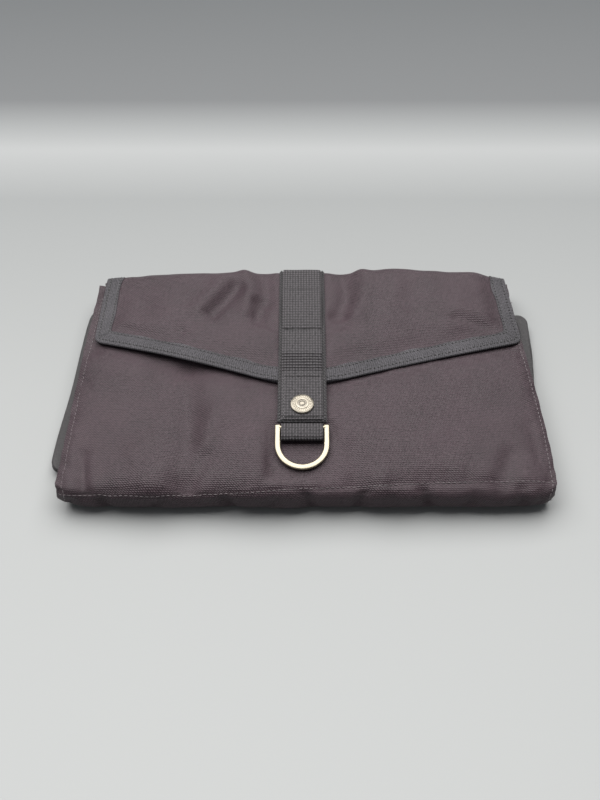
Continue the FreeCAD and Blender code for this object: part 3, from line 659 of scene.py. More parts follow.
# %% This object's cloths
EVEN = (620, 620)
twill = woven(
    "nylon_twill",
    (0.0084, 0.0046, 0.0061),
    (0.0830, 0.0552, 0.0660),
    warp=(0.0016, 0.5),
    weft=(0.0012, 0.45),
    slant="DIAGONAL",
    rough=0.46,
    sheen=0.05,
    depth=0.8,
    mottle=0.8,
)
lining = woven("black_taffeta", (0.010, 0.010, 0.011), (0.030, 0.029, 0.031), (0.0008, 0.4), (0.0008, 0.4))
grosgrain = woven(
    "grosgrain_tape",
    (0.008, 0.0076, 0.0086),
    (0.112, 0.105, 0.116),
    warp=(0.0014, 0.6),
    weft=(0.0011, 0.4),
    rough=0.62,
    depth=1.0,
    grain=EVEN,
    mottle=0.8,
)
flat_webbing = woven(
    "flat_webbing",
    (0.005, 0.0046, 0.005),
    (0.068, 0.0622, 0.0672),
    warp=(0.0024, 0.6),
    weft=(0.0014, 0.5),
    slant="DIAGONAL",
    rough=0.6,
    depth=1.0,
    grain=EVEN,
)
rib_webbing = woven(
    "ribbed_webbing",
    (0.005, 0.0046, 0.005),
    (0.094, 0.085, 0.0915),
    warp=(0.0018, 0.8),
    weft=(0.0022, 0.7),
    rough=0.55,
    depth=1.0,
    grain=EVEN,
)
bag_cloth = woven(
    "light_tight_nylon",
    (0.012, 0.011, 0.012),
    (0.040, 0.036, 0.039),
    warp=(0.0008, 0.4),
    weft=(0.0007, 0.4),
)
sleeve_cloth = woven(
    "sleeve_nylon",
    (0.017, 0.0158, 0.0166),
    (0.058, 0.0545, 0.0562),
    warp=(0.0009, 0.4),
    weft=(0.0008, 0.4),
)
elastic = woven(
    "ribbed_elastic",
    (0.010, 0.010, 0.010),
    (0.040, 0.039, 0.040),
    warp=(0.0022, 0.6),
    weft=(0.0008, 0.2),
    rough=0.75,
)
zip_cloth = woven(
    "zip_tape_cloth",
    (0.012, 0.012, 0.012),
    (0.045, 0.044, 0.045),
    warp=(0.0018, 0.5),
    weft=(0.0009, 0.3),
    slant="DIAGONAL",
    rough=0.7,
)
print("there are", len(bpy.data.materials), "materials so far")

# %% Wrap, finished
wrap.data.materials.append(twill)
wrap.data.materials.append(lining)
thicken(wrap, 0.0032, edge=0.0011)
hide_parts("wrap_shell", "wrap_padding", "wrap_lining")
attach(wrap, "wrap")
print("wrap has", len(wrap.data.polygons), "faces")

# %% [markdown]
# ## The flap
# The flap is a second padded panel. It is sewn to the top of the rear wall, turns over the rear fold
# and ends in a pointed hem.

# %% How far the flap stands off the bag
FLAP_CREASES = [
    ([(-55, 75), (-70, 50)], 6.5, 2.1),
    ([(-46, 69), (-61, 46)], 6, -3.4),
    ([(-42, 86), (-38, 62), (-40, 46)], 5, 1.8),
    ([(-28, 80), (-26, 60), (-31, 44)], 6, -3.0),
    ([(-84, 70), (-92, 44)], 12, 0.9),
    ([(-118, 35), (-98, 26)], 3.4, -1.3),
    ([(-81, 30), (-84, 17)], 3.4, -1.2),
    ([(-112, 70), (-104, 50)], 9, -0.9),
    ([(37, 84), (39, 62), (32, 42)], 6, 1.9),
    ([(25, 82), (26, 58), (20, 40)], 6, -3.0),
    ([(58, 74), (50, 44)], 10, 0.9),
    ([(98, 43), (119, 36)], 3.4, -1.4),
    ([(102, 52), (122, 46)], 4.5, 0.9),
    ([(84, 72), (98, 44)], 14, 0.8),
    ([(70, 66), (74, 30)], 9, -0.8),
    ([(-14, 50), (-33, 56)], 3.6, -1.3),
    ([(-14, 30), (-32, 38)], 3.6, -1.5),
    ([(9, 45), (24, 42)], 3.6, -1.3),
    ([(9, 29), (26, 34)], 3.6, -1.2),
]


def pulled(x, run):
    """The strap draws the cloth in where it goes over the rear fold."""
    return -0.0017 * np.exp(-(((x - TIP[0]) / 0.034) ** 4)) * rise(run, 0.056, 0.082)


HEM_PRESS = 0.0020


def hem_thinning(x, run):
    """The hem is pressed flatter than the padded field, except under the strap."""
    left, right = flap_sides(run)
    inside = np.minimum(np.minimum(x - left, right - x), (run - hem_y(x)) * 0.97)
    return -HEM_PRESS * (1 - rise(inside, 0.0, 0.034)) * rise(np.abs(x - TIP[0]), 0.012, 0.029)


def flap_lift(x, run):
    """How far the flap stands off its measured place."""
    to_hem = run - hem_y(x)
    left, right = flap_sides(run)
    inside = np.minimum(np.minimum(x - left, right - x), to_hem * 0.95)
    field = rise(inside, 0.008, 0.020)
    relief = 0.0006 * ripple(x, run, 0.045, 11) + 0.00018 * ripple(x, run, 0.013, 12)
    relief = relief + creases(x, run, FLAP_CREASES) + 0.0003
    raised = 0.0021 * np.exp(-(((x + 0.082) / 0.044) ** 2) - (to_hem / 0.026) ** 2)
    strap = np.abs(x - TIP[0])
    held = rise(strap, 0.0148, 0.0185)
    calm = np.clip((0.098 - run) / 0.012, 0, 1)
    puffed = 0.0021 * rise(x, 0.030, 0.062) * (1 - rise(x, 0.112, 0.134)) * rise(run, 0.040, 0.080)
    lifted = raised * np.clip((strap - 0.016) / 0.02, 0, 1)
    return (relief * field * held + puffed) * calm + lifted + pulled(x, run)


# %% Flap panel
HEM_CORNER = 0.005  # the radius of the hem's two outer corners
FLAP_FOOT = 0.0145  # the height at which the flap is sewn to the rear wall
columns = np.linspace(0, 1, 139)
x = HEM_LEFT + columns * (HEM_RIGHT - HEM_LEFT)
start = run_at(x, FLAP_FOOT)
from_side = np.minimum(x - HEM_LEFT, HEM_RIGHT - x)
rounding = HEM_CORNER**2 - np.maximum(HEM_CORNER - from_side, 0) ** 2
end = hem_y(x) + HEM_CORNER - np.sqrt(np.maximum(rounding, 0))
plan = []
for part in np.linspace(0, 1, 78):
    run = start + (end - start) * part
    left, right = flap_sides(run)
    plan.append(np.stack([left + columns * (right - left), run], -1))
plan = np.array(plan)
x, run = plan[..., 0], plan[..., 1]
lift = FLAP_TOP + flap_lift(x, run) + hem_thinning(x, run)
lift = lift - 0.0007 * np.clip((run_at(x, 0.0168) - run) / -0.0015, 0, 1)
shape = over_bag(x, run, lift)
left, right = flap_sides(run)
edge = np.minimum(np.minimum(x - left, right - x), (run - hem_y(x)) * 0.95)
sewn = (edge < 0.0105) | (np.abs(x - TIP[0]) < 0.0155) | (run > 0.088)
puff = soften(settled(shape, sewn, 0.014, 4, (0.0009, 0.0010)), 4) * rise(edge, 0.0100, 0.022)
flap = cloth("flap", over_bag(x, run, lift + puff), plan, flip=True)
flap.data.materials.append(twill)
flap.data.materials.append(lining)

# %% Flap thickness
padding = flap.vertex_groups.new(name="padding")
for number, share in enumerate((1 + hem_thinning(x, run) / 0.0022).ravel()):
    padding.add([number], float(share), "REPLACE")
thicken(flap, 0.0023, edge=0.0004, padding="padding")


def hang_on_flap(piece):
    """Cloth over the rear fold: bakes its placement into its mesh."""
    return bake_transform(piece)


hang_on_flap(flap)
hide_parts("flap_shell", "flap_padding", "flap_lining")
print("flap has", len(flap.data.polygons), "faces")


# %% [markdown]
# ## The binding
# A grosgrain tape is folded over the flap's raw edges and sewn through. The tape is a strip whose
# section wraps the edge, so it is made from the flap's outline, moved in by a little more for each
# row of the section.


# %% The flap's outline, moved in
TAPE_FOOT = 0.0150


def distances(line):
    """How far along a line each of its points lies."""
    return np.concatenate([[0], np.cumsum(np.linalg.norm(np.diff(line, axis=0), axis=1))])


def towards(a, b, length):
    """The point a given length from a on the way to b."""
    a, b = np.array(a), np.array(b)
    return a + (b - a) / np.linalg.norm(b - a) * length


def bend(before, corner, after, radius, count):
    """A rounded corner."""
    a, b = towards(corner, before, radius), towards(corner, after, radius)
    t = np.linspace(0, 1, count)[:, None]
    return (1 - t) ** 2 * a + 2 * t * (1 - t) * np.array(corner) + t**2 * b


def between_ends(a, b, count):
    t = np.linspace(0, 1, count + 2)[1:-1, None]
    return np.array(a) * (1 - t) + np.array(b) * t


def flap_edge(inset):
    """The outline as x and run, from the left rear to the right rear."""
    slope_left = (HEM_Y - TIP[1]) / (TIP[0] - HEM_LEFT)
    slope_right = (HEM_Y - TIP[1]) / (HEM_RIGHT - TIP[0])
    rise_left = inset * math.hypot(1, slope_left)
    rise_right = inset * math.hypot(1, slope_right)
    left, right = HEM_LEFT + inset, HEM_RIGHT - inset
    corner_left = (left, HEM_Y + rise_left - inset * slope_left)
    corner_right = (right, HEM_Y + rise_right - inset * slope_right)
    tip = (TIP[0], TIP[1] + (rise_left + rise_right) / 2)
    radius = max(HEM_CORNER - inset, 0.0004)
    rear_left = (left + REAR_IN_LEFT, run_at(left, TAPE_FOOT))
    rear_right = (right - REAR_IN_RIGHT, run_at(right, TAPE_FOOT))
    side_left = (left + REAR_IN_LEFT, HEM_Y + DRAWN_IN)
    side_right = (right - REAR_IN_RIGHT, HEM_Y + DRAWN_IN)
    first = bend(side_left, corner_left, tip, radius, 8)
    last = bend(tip, corner_right, side_right, radius, 8)
    stretches = [
        [rear_left],
        between_ends(rear_left, side_left, 12),
        [side_left],
        between_ends(side_left, first[0], 26),
        first,
        between_ends(first[-1], tip, 60),
        [tip],
        between_ends(tip, last[0], 60),
        last,
        between_ends(last[-1], side_right, 26),
        [side_right],
        between_ends(side_right, rear_right, 12),
        [rear_right],
    ]
    return np.concatenate([np.array(stretch) for stretch in stretches])


# %% The tape's section
TAPE = 0.0006
TAPE_SEAMS = (0.0022, 0.0086)
middle = (FLAP_TOP + FLAP_UNDER) / 2
section = [(0.0100, FLAP_TOP + 0.0001)]
section += [(w, FLAP_TOP + TAPE) for w in (0.0098, 0.0086, 0.0070, 0.0054, 0.0038, 0.0022, 0.0010)]
for angle in np.linspace(0, math.pi, 9):
    level = middle + (FLAP_TOP + TAPE - middle) * math.cos(angle)
    section.append((-0.0012 * math.sin(angle) * 0.6, level))
section += [(w, FLAP_UNDER - TAPE) for w in (0.0010, 0.0030, 0.0060, 0.0098)]
section += [(0.0100, FLAP_UNDER - 0.0001)]
print("the tape's section has", len(section), "points")

# %% Binding tape
tape_rows, tape_weave, drawn = [], [], 0
outer = flap_edge(0.0)
along_tape = distances(outer)
wave = 0.0005 * np.sin(along_tape / 0.0061) + 0.0004 * np.sin(along_tape / 0.0037 + 1)
wave = wave + 0.0006 * np.sin(along_tape / 0.0046) * (along_tape < 0.075)
for number, (inset, level) in enumerate(section):
    path = flap_edge(max(inset, -0.0012))
    if 0.0095 < inset:
        inner = flap_edge(inset + 0.0004)
        step = np.linalg.norm(inner - path, axis=1, keepdims=True)
        strength = 1 - 0.4 * (inset < 0.0099)
        path = path + (inner - path) / np.maximum(step, 1e-9) * wave[:, None] * strength
    puff, groove = 0.0, 0.0
    if level >= middle and 0.001 <= inset <= 0.009:
        puff = 0.0002 * math.sin(inset / 0.010 * math.pi)
    if level > middle and inset in TAPE_SEAMS:
        groove = -0.0002
    above = np.clip((level - (FLAP_UNDER - TAPE)) / (FLAP_TOP + 2 * TAPE - FLAP_UNDER), 0, 1)
    pressed = hem_thinning(*flap_edge(max(inset, 0.0)).T) * above
    lift = level + flap_lift(path[:, 0], path[:, 1]) + pressed + puff + groove
    tape_rows.append(over_bag(path[:, 0], path[:, 1], lift))
    if number:
        drawn += math.dist(section[number - 1], section[number])
    tape_weave.append(np.stack([along_tape, np.full(len(along_tape), drawn)], -1))
binding = cloth("binding_tape", np.array(tape_rows), np.array(tape_weave), flip=True)
binding.data.materials.append(grosgrain)
thicken(binding, 0.0004)
hang_on_flap(binding)
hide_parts("flap_binding")
print("binding is", round(float(along_tape[-1]), 3), "m long")

# %% [markdown]
# ## The strap
# A 30 mm webbing is sewn down the middle of the flap and on past its point, and a 25 mm webbing is
# tacked on top of it, so that it stands up in low loops between the tacks. Both go round the rear
# fold and down to a foot on the rear wall.

# %% Webbings
STRAP_X = TIP[0]
TACKS = [0.064, 0.028, -0.0105, -0.042]
PRESSED = (0.062, 0.082)  # where the strap begins to lie tighter, towards the rear fold
LOOP_HEIGHTS = [0.0003, 0.0008, 0.0016, 0.0009]
RIB_PITCH = 0.0022


def webbing(name, width, front, foot, top, tucked_top, thickness, relief, material, rows):
    """A webbing over the bag, from its front end to its foot, where it tucks in lower."""
    x = STRAP_X + np.linspace(-width / 2, width / 2, 25)
    end = run_at(x, foot)
    run = front + (end[None, :] - front) * np.linspace(0, 1, rows)[:, None]
    x = np.broadcast_to(x, run.shape)
    tucked = np.clip((run - run_at(x, 0.0185)) / 0.004, 0, 1)
    edge = np.abs(x - STRAP_X) / (width / 2)
    lift = top - (top - tucked_top) * tucked + relief(x, run) * (1 - tucked)
    lift = lift - 0.00025 * np.clip((edge - 0.86) / 0.14, 0, 1) ** 2
    lift = lift + pulled(x, run) - (top - 0.0046) * 0.8 * rise(run, *PRESSED)
    lift = lift - 0.0004 * rise(front + 0.0016 - run, 0, 0.0016)
    piece = cloth(name, over_bag(x, run, lift), np.stack([x, run], -1))
    piece.data.materials.append(material)
    thicken(piece, thickness, edge=0.0003)
    return hang_on_flap(piece)


def base_shape(x, run):
    """The base webbing is almost flat."""
    return 0.00008 * ripple(x, run, 0.02, 21)


def loop_shape(x, run):
    """Low loops between the tacks, and a ribbed band before the third tack."""
    stops = np.array(sorted(TACKS + [0.106]))
    heights = np.array(LOOP_HEIGHTS)
    place = np.clip(np.searchsorted(stops, run) - 1, 0, len(heights) - 1)
    part = np.clip((run - stops[place]) / (stops[place + 1] - stops[place]), 0, 1)
    loop = heights[place] * np.sin(math.pi * part) ** 0.7
    band = np.clip((0.0090 - run) / 0.001, 0, 1) * np.clip((run + 0.0070) / 0.001, 0, 1)
    ribs = 0.00032 * band * np.sin(run * math.tau / RIB_PITCH)
    pinch = sum(np.exp(-(((run - t) / 0.0009) ** 2)) for t in TACKS)
    return loop + ribs - 0.00035 * pinch + 0.0001 * ripple(x, run, 0.014, 22)


base = webbing(
    "base_webbing_strap",
    width=0.030,
    front=-0.045,
    foot=0.0090,
    top=0.0055,
    tucked_top=0.0049,
    thickness=0.0012,
    relief=base_shape,
    material=flat_webbing,
    rows=180,
)
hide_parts("strap_base", "strap_tail")
loops = webbing(
    "loop_webbing_strap",
    width=0.025,
    front=-0.0436,
    foot=0.0096,
    top=0.0068,
    tucked_top=0.0061,
    thickness=0.0011,
    relief=loop_shape,
    material=rib_webbing,
    rows=420,
)
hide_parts("strap_webbing")
print("the strap has", len(base.data.polygons) + len(loops.data.polygons), "faces")

# %% Ring keeper
KEEPER_PATH = [
    (-0.0412, 0.0290),
    (-0.0440, 0.0286),
    (-0.0455, 0.0296),
    (-0.0470, 0.0307),
    (-0.0520, 0.0306),
    (-0.0556, 0.0300),
    (-0.0569, 0.0286),
    (-0.0566, 0.0268),
    (-0.0550, 0.0259),
    (-0.0500, 0.0257),
    (-0.0460, 0.0259),
    (-0.0435, 0.0268),
    (-0.0412, 0.0272),
]


def smooth_path(points, count):
    """Points spaced evenly along a rounded path through the given ones."""
    path = np.array(points, float)
    for _ in range(3):
        cut = np.stack([0.75 * path[:-1] + 0.25 * path[1:], 0.25 * path[:-1] + 0.75 * path[1:]], 1)
        path = np.vstack([path[:1], cut.reshape(-1, path.shape[1]), path[-1:]])
    gone = distances(path)
    wanted = np.linspace(0, gone[-1], count)
    return np.stack([np.interp(wanted, gone, path[:, i]) for i in range(path.shape[1])], -1), wanted


keeper_low, keeper_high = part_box("ring_keeper")
path, gone = smooth_path(KEEPER_PATH, 90)
across = (keeper_low.x + keeper_high.x) / 2 + np.linspace(-0.0125, 0.0125, 25)
bow = 0.00014 * np.sin(gone * math.tau / RIB_PITCH)
tangent = np.gradient(path, axis=0)
side = np.stack([-tangent[:, 1], tangent[:, 0]], -1) / np.linalg.norm(tangent, axis=1)[:, None]
curve = (path - side * bow[:, None])[:, None, :]
points = np.stack(np.broadcast_arrays(across, curve[..., 0], curve[..., 1]), -1)
weave = np.stack(np.broadcast_arrays(across, gone[:, None]), -1)
keeper = cloth("keeper_webbing", points, weave, flip=True)
keeper.data.materials.append(rib_webbing)
thicken(keeper, 0.0011, edge=0.0003)
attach(keeper, "flap")
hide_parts("ring_keeper")
print("the keeper is", round(float(gone[-1]), 4), "m of webbing")

# %% [markdown]
# ## Thread
# Every seam is a row of separate stitches. A node tree takes a seam as a curve, steps along it at the
# stitch's pitch and puts one small rounded stitch at each step, turned along the seam.


# %% Stitches along a curve
def nodes_with(name, inputs):
    """An empty geometry node tree with named inputs."""
    tree = bpy.data.node_groups.new(name, "GeometryNodeTree")
    tree.interface.new_socket("Geometry", in_out="INPUT", socket_type="NodeSocketGeometry")
    for label, kind, value in inputs:
        socket = tree.interface.new_socket(label, in_out="INPUT", socket_type=kind)
        if value is not None:
            socket.default_value = value
    tree.interface.new_socket("Geometry", in_out="OUTPUT", socket_type="NodeSocketGeometry")
    return tree, tree.nodes.new("NodeGroupInput"), tree.nodes.new("NodeGroupOutput")


def stitch_tree():
    """Rounded stitches: one bead at each step along the seam."""
    inputs = [
        ("Pitch", "NodeSocketFloat", 0.003),
        ("Length", "NodeSocketFloat", 0.0022),
        ("Thickness", "NodeSocketFloat", 0.0004),
        ("Thread", "NodeSocketMaterial", None),
    ]
    tree, start, end = nodes_with("stitches", inputs)
    new, link = tree.nodes.new, tree.links.new
    steps = new("GeometryNodeResampleCurve")
    steps.mode = "LENGTH"
    link(start.outputs["Geometry"], steps.inputs["Curve"])
    link(start.outputs["Pitch"], steps.inputs["Length"])
    tangent = new("GeometryNodeInputTangent")
    turn = new("FunctionNodeAlignRotationToVector")
    turn.axis = "X"
    link(tangent.outputs[0], turn.inputs["Vector"])
    bead = new("GeometryNodeMeshUVSphere")
    bead.inputs["Segments"].default_value = 6
    bead.inputs["Rings"].default_value = 5
    bead.inputs["Radius"].default_value = 0.5
    size = new("ShaderNodeCombineXYZ")
    link(start.outputs["Length"], size.inputs["X"])
    link(start.outputs["Thickness"], size.inputs["Y"])
    link(start.outputs["Thickness"], size.inputs["Z"])
    put = new("GeometryNodeInstanceOnPoints")
    link(steps.outputs["Curve"], put.inputs["Points"])
    link(bead.outputs["Mesh"], put.inputs["Instance"])
    link(turn.outputs[0], put.inputs["Rotation"])
    link(size.outputs[0], put.inputs["Scale"])
    real = new("GeometryNodeRealizeInstances")
    link(put.outputs[0], real.inputs[0])
    paint = new("GeometryNodeSetMaterial")
    link(real.outputs[0], paint.inputs["Geometry"])
    link(start.outputs["Thread"], paint.inputs["Material"])
    smooth = new("GeometryNodeSetShadeSmooth")
    link(paint.outputs[0], smooth.inputs["Geometry"])
    link(smooth.outputs[0], end.inputs[0])
    return tree


def thread_tree():
    """One unbroken thread."""
    inputs = [("Thickness", "NodeSocketFloat", 0.0003), ("Thread", "NodeSocketMaterial", None)]
    tree, start, end = nodes_with("thread", inputs)
    new, link = tree.nodes.new, tree.links.new
    ring = new("GeometryNodeCurvePrimitiveCircle")
    ring.inputs["Resolution"].default_value = 6
    half = new("ShaderNodeMath")
    half.operation = "MULTIPLY"
    half.inputs[1].default_value = 0.5
    link(start.outputs["Thickness"], half.inputs[0])
    link(half.outputs[0], ring.inputs["Radius"])
    tube = new("GeometryNodeCurveToMesh")
    tube.inputs["Fill Caps"].default_value = True
    link(start.outputs["Geometry"], tube.inputs["Curve"])
    link(ring.outputs["Curve"], tube.inputs["Profile Curve"])
    paint = new("GeometryNodeSetMaterial")
    link(tube.outputs[0], paint.inputs["Geometry"])
    link(start.outputs["Thread"], paint.inputs["Material"])
    link(paint.outputs[0], end.inputs[0])
    return tree


STITCHES, THREAD = stitch_tree(), thread_tree()


def seam(name, lines, tree, **settings):
    """Runs lines of points through a node tree and returns the plain mesh."""
    curve = bpy.data.curves.new(name, "CURVE")
    curve.dimensions = "3D"
    for line in lines:
        spline = curve.splines.new("POLY")
        spline.points.add(len(line) - 1)
        spline.points.foreach_set("co", np.hstack([line, np.ones((len(line), 1))]).ravel())
    holder = bpy.data.objects.new(name + "_line", curve)
    bpy.context.scene.collection.objects.link(holder)
    modifier = holder.modifiers.new("sewing", "NODES")
    modifier.node_group = tree
    sockets = {item.name: item.identifier for item in tree.interface.items_tree if item.in_out == "INPUT"}
    for key, value in settings.items():
        modifier[sockets[key]] = value
    depsgraph = bpy.context.evaluated_depsgraph_get()
    mesh = bpy.data.meshes.new_from_object(holder.evaluated_get(depsgraph))
    bpy.data.objects.remove(holder)
    piece = bpy.data.objects.new(name, mesh)
    bpy.context.scene.collection.objects.link(piece)
    print(name, "has", len(mesh.polygons), "faces")
    return piece


def later(line, gap):
    """The same line, begun a little further on."""
    gone = distances(line)
    wanted = np.linspace(gap, gone[-1], len(line))
    return np.stack([np.interp(wanted, gone, line[:, i]) for i in range(3)], -1)


def thread_material(name, dark, light):
    """Twisted thread, a little uneven in tone."""
    material, tree, shader, add = new_material(name)
    place = add("ShaderNodeTexCoord")
    twist = add("ShaderNodeTexNoise", Scale=2500.0, Detail=2.0)
    shades = ramp_of(add, (0.35, dark), (0.7, light))
    bump = add("ShaderNodeBump", Strength=0.5, Distance=0.0001)
    tree.links.new(place.outputs["Object"], twist.inputs["Vector"])
    tree.links.new(twist.outputs["Fac"], shades.inputs[0])
    tree.links.new(shades.outputs[0], shader.inputs["Base Color"])
    tree.links.new(twist.outputs["Fac"], bump.inputs["Height"])
    tree.links.new(bump.outputs[0], shader.inputs["Normal"])
    shader.inputs["Roughness"].default_value = 0.6
    shader.inputs["Sheen Weight"].default_value = 0.3
    return material


pale_thread = thread_material("pale_thread", (0.10, 0.082, 0.088), (0.24, 0.205, 0.215))
grey_thread = thread_material("grey_thread", (0.07, 0.065, 0.068), (0.17, 0.16, 0.165))
# Dark thread for the bar tacks; the same material paints the shade in the needle holes.
dark_thread_and_hole_shade = thread_material("dark_thread_and_hole_shade", (0.004, 0.004, 0.004), (0.018, 0.017, 0.018))


# %% Where the seams run
def surface_of(piece):
    """A function that moves points to the nearest place on a piece, and a little above it."""
    depsgraph = bpy.context.evaluated_depsgraph_get()
    tree = BVHTree.FromObject(piece, depsgraph)

    def land(points, up=0.0002):
        landed = []
        for p in points:
            spot, normal, _, _ = tree.find_nearest(Vector(p))
            landed.append(spot + normal * up)
        return np.array(landed)

    return land


def on_wrap(path, count=200):
    """A line over the front panel and the spine, given as x and run."""
    line, _ = smooth_path(path, count)
    x, run = line[:, 0], line[:, 1]
    past = np.maximum(FRONT + CORNER - run, 0)
    angle = np.clip(past / CORNER, 0, math.pi / 2)
    down = np.maximum(past - CORNER * math.pi / 2, 0)
    top = panel_height(x, np.maximum(run, FRONT + CORNER))
    y = np.where(past > 0, FRONT + CORNER - CORNER * np.sin(angle), run)
    z = top - CORNER + CORNER * np.cos(angle) - down
    return np.stack([x, y, z], -1)


# %% Seams of the wrap
land_on_wrap = surface_of(wrap)
SIDE_STOPS = (0.066, 0.04, 0.01, -0.02, -0.05, -0.085, -0.095, -0.104)
left_line = [(float(np.interp(y, EDGE_Y, LEFT_X)) + 0.0038, y) for y in SIDE_STOPS]
right_line = [(float(np.interp(y, EDGE_Y, RIGHT_X)) - 0.0026, y) for y in SIDE_STOPS]
mouth_line = [(x, MOUTH - 0.004) for x in (-0.136, 0.0, 0.137)]
panel_lines = (left_line, right_line, SPINE_LINE, mouth_line)
wrap_seams = [land_on_wrap(on_wrap(line, 260)) for line in panel_lines]
wall = np.stack(np.broadcast_arrays(np.linspace(-0.141, 0.141, 200), REAR + 0.001, 0.0135), -1)
wrap_seams.append(land_on_wrap(wall))
wrap_stitches = seam(
    "wrap_stitches",
    wrap_seams,
    STITCHES,
    Pitch=0.0031,
    Length=0.0023,
    Thickness=0.00042,
    Thread=pale_thread,
)
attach(wrap_stitches, "wrap")

# %% Seams with painted shade in their needle holes
TAPE_PITCH = 0.0024
GREY_STITCH = {"Pitch": TAPE_PITCH, "Length": 0.0013, "Thickness": 0.0006, "Thread": grey_thread}
# The dark beads are painted shade: the needle holes, and beside the strap also the shadow gap along the
# loop webbing's edges.
TAPE_HOLE_SHADE = {"Pitch": TAPE_PITCH, "Length": 0.0010, "Thickness": 0.0009, "Thread": dark_thread_and_hole_shade}
STRAP_HOLE_SHADE = {"Pitch": TAPE_PITCH, "Length": 0.0013, "Thickness": 0.0011, "Thread": dark_thread_and_hole_shade}


def seam_with_hole_shade(name, lines, hole_shade):
    """Grey stitches with a dark bead between each two: painted shade for the needle holes."""
    stitches = seam(f"{name}_stitches", lines, STITCHES, **GREY_STITCH)
    between = [later(line, TAPE_PITCH / 2) for line in lines]
    return stitches, seam(f"{name}_needle_hole_shade", between, STITCHES, **hole_shade)


land_on_tape = surface_of(binding)
tape_lines = []
for inset in TAPE_SEAMS:
    path = flap_edge(inset)
    path = path[path[:, 1] < 0.090]
    x, run = path.T
    lift = FLAP_TOP + TAPE + flap_lift(x, run) + hem_thinning(x, run)
    tape_lines.append(land_on_tape(over_bag(x, run, lift), 0.0001))
tape_stitches, tape_hole_shade = seam_with_hole_shade("binding", tape_lines, TAPE_HOLE_SHADE)
for piece in (tape_stitches, tape_hole_shade):
    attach(piece, "flap")

strap_lines = []
for across in (-0.0137, 0.0137):
    run = np.linspace(-0.0435, 0.096, 300)
    drop = pulled(STRAP_X + across, run) - 0.00072 * rise(run, *PRESSED)
    strap_lines.append(over_bag(STRAP_X + across, run, 0.0056 + drop))
strap_lines.append(over_bag(STRAP_X + np.linspace(-0.0137, 0.0137, 40), -0.0436, 0.0056))
strap_stitches, strap_hole_shade = seam_with_hole_shade("strap", strap_lines, STRAP_HOLE_SHADE)
for piece in (strap_stitches, strap_hole_shade):
    hang_on_flap(piece)

# %% Stitches and bar tacks on the loop webbing
LOOP_TOP = 0.0069
webbing_lines = []
for across in (-0.0112, 0.0112):
    run = np.linspace(-0.042, -0.0105, 90)
    webbing_lines.append(over_bag(STRAP_X + across, run, LOOP_TOP + loop_shape(STRAP_X, run)))
webbing_stitches = seam(
    "webbing_stitches",
    webbing_lines,
    STITCHES,
    Pitch=0.0026,
    Length=0.0018,
    Thickness=0.0004,
    Thread=grey_thread,
)
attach(webbing_stitches, "flap")

tack_lines = []
for tack in TACKS:
    across = STRAP_X + np.linspace(-0.0118, 0.0118, 90)
    zigzag = tack + 0.00055 * np.where(np.arange(90) % 2, 1, -1)
    drop = pulled(STRAP_X, tack) - 0.0018 * rise(tack, *PRESSED)
    tack_lines.append(over_bag(across, zigzag, LOOP_TOP + loop_shape(STRAP_X, tack) + drop))
tacks = seam("tack_threads", tack_lines, THREAD, Thickness=0.00035, Thread=dark_thread_and_hole_shade)
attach(tacks, "flap")
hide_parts("bar_tacks")

# %% [markdown]
# ## Metal
# The snap's cap is antique nickel: bright on its rims and dark in its rings. The ring is smooth, pale
# nickel plate. Both are turned or cast, so their materials have fine scratches and cloudy wear.


# %% Metals
def metal(name, dark, light, rough, scratch):
    """Metal with cloudy wear and fine scratches."""
    material, tree, shader, add = new_material(name)
    link = tree.links.new
    place = add("ShaderNodeTexCoord")
    cloud = add("ShaderNodeTexNoise", Scale=240.0, Detail=6.0, Roughness=0.7)
    fine = add("ShaderNodeTexNoise", Scale=2600.0, Detail=3.0)
    link(place.outputs["Object"], cloud.inputs["Vector"])
    link(place.outputs["Object"], fine.inputs["Vector"])
    shades = ramp_of(add, (0.3, dark), (0.62, light))
    link(cloud.outputs["Fac"], shades.inputs[0])
    link(shades.outputs[0], shader.inputs["Base Color"])
    worn = add("ShaderNodeMapRange", From_Min=0.3, From_Max=0.7)
    worn.inputs["To Min"].default_value = rough - 0.08
    worn.inputs["To Max"].default_value = rough + 0.12
    link(cloud.outputs["Fac"], worn.inputs["Value"])
    link(worn.outputs[0], shader.inputs["Roughness"])
    bump = add("ShaderNodeBump", Strength=scratch, Distance=0.00008)
    link(fine.outputs["Fac"], bump.inputs["Height"])
    link(bump.outputs[0], shader.inputs["Normal"])
    shader.inputs["Metallic"].default_value = 1
    return material


antique = metal("antique_nickel", (0.15, 0.135, 0.11), (0.40, 0.365, 0.305), 0.42, 0.35)
recess = metal("dark_nickel", (0.15, 0.135, 0.115), (0.30, 0.275, 0.24), 0.5, 0.5)
plate = metal("pale_nickel", (0.29, 0.257, 0.190), (0.41, 0.368, 0.282), 0.40, 0.12)
enamel = metal("black_enamel", (0.02, 0.02, 0.02), (0.06, 0.06, 0.062), 0.4, 0.3)


def repaint(node, material):
    """Gives a measured solid a finer material."""
    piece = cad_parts[node]
    piece.data.materials.clear()
    piece.data.materials.append(material)
    for face in piece.data.polygons:
        face.material_index = 0


for node in ("snap_stud", "snap_post", "snap_socket"):
    repaint(node, antique)
for which in ("outer", "inner"):
    for kind in ("slider", "pull", "stops"):
        repaint(f"{which}_zip_{kind}", enamel)


# %% Bars that follow a line
RING_AXIS = np.array([STRAP_X, -0.0476, 0.0282])
RING_TILT = math.radians(9)
RING_IN, BAND_WIDE, BAND_THICK = 0.0129, 0.0034, 0.0022
RING_REACH, RING_BUTT, BAR_RADIUS = 0.0116, 0.0013, 0.0013


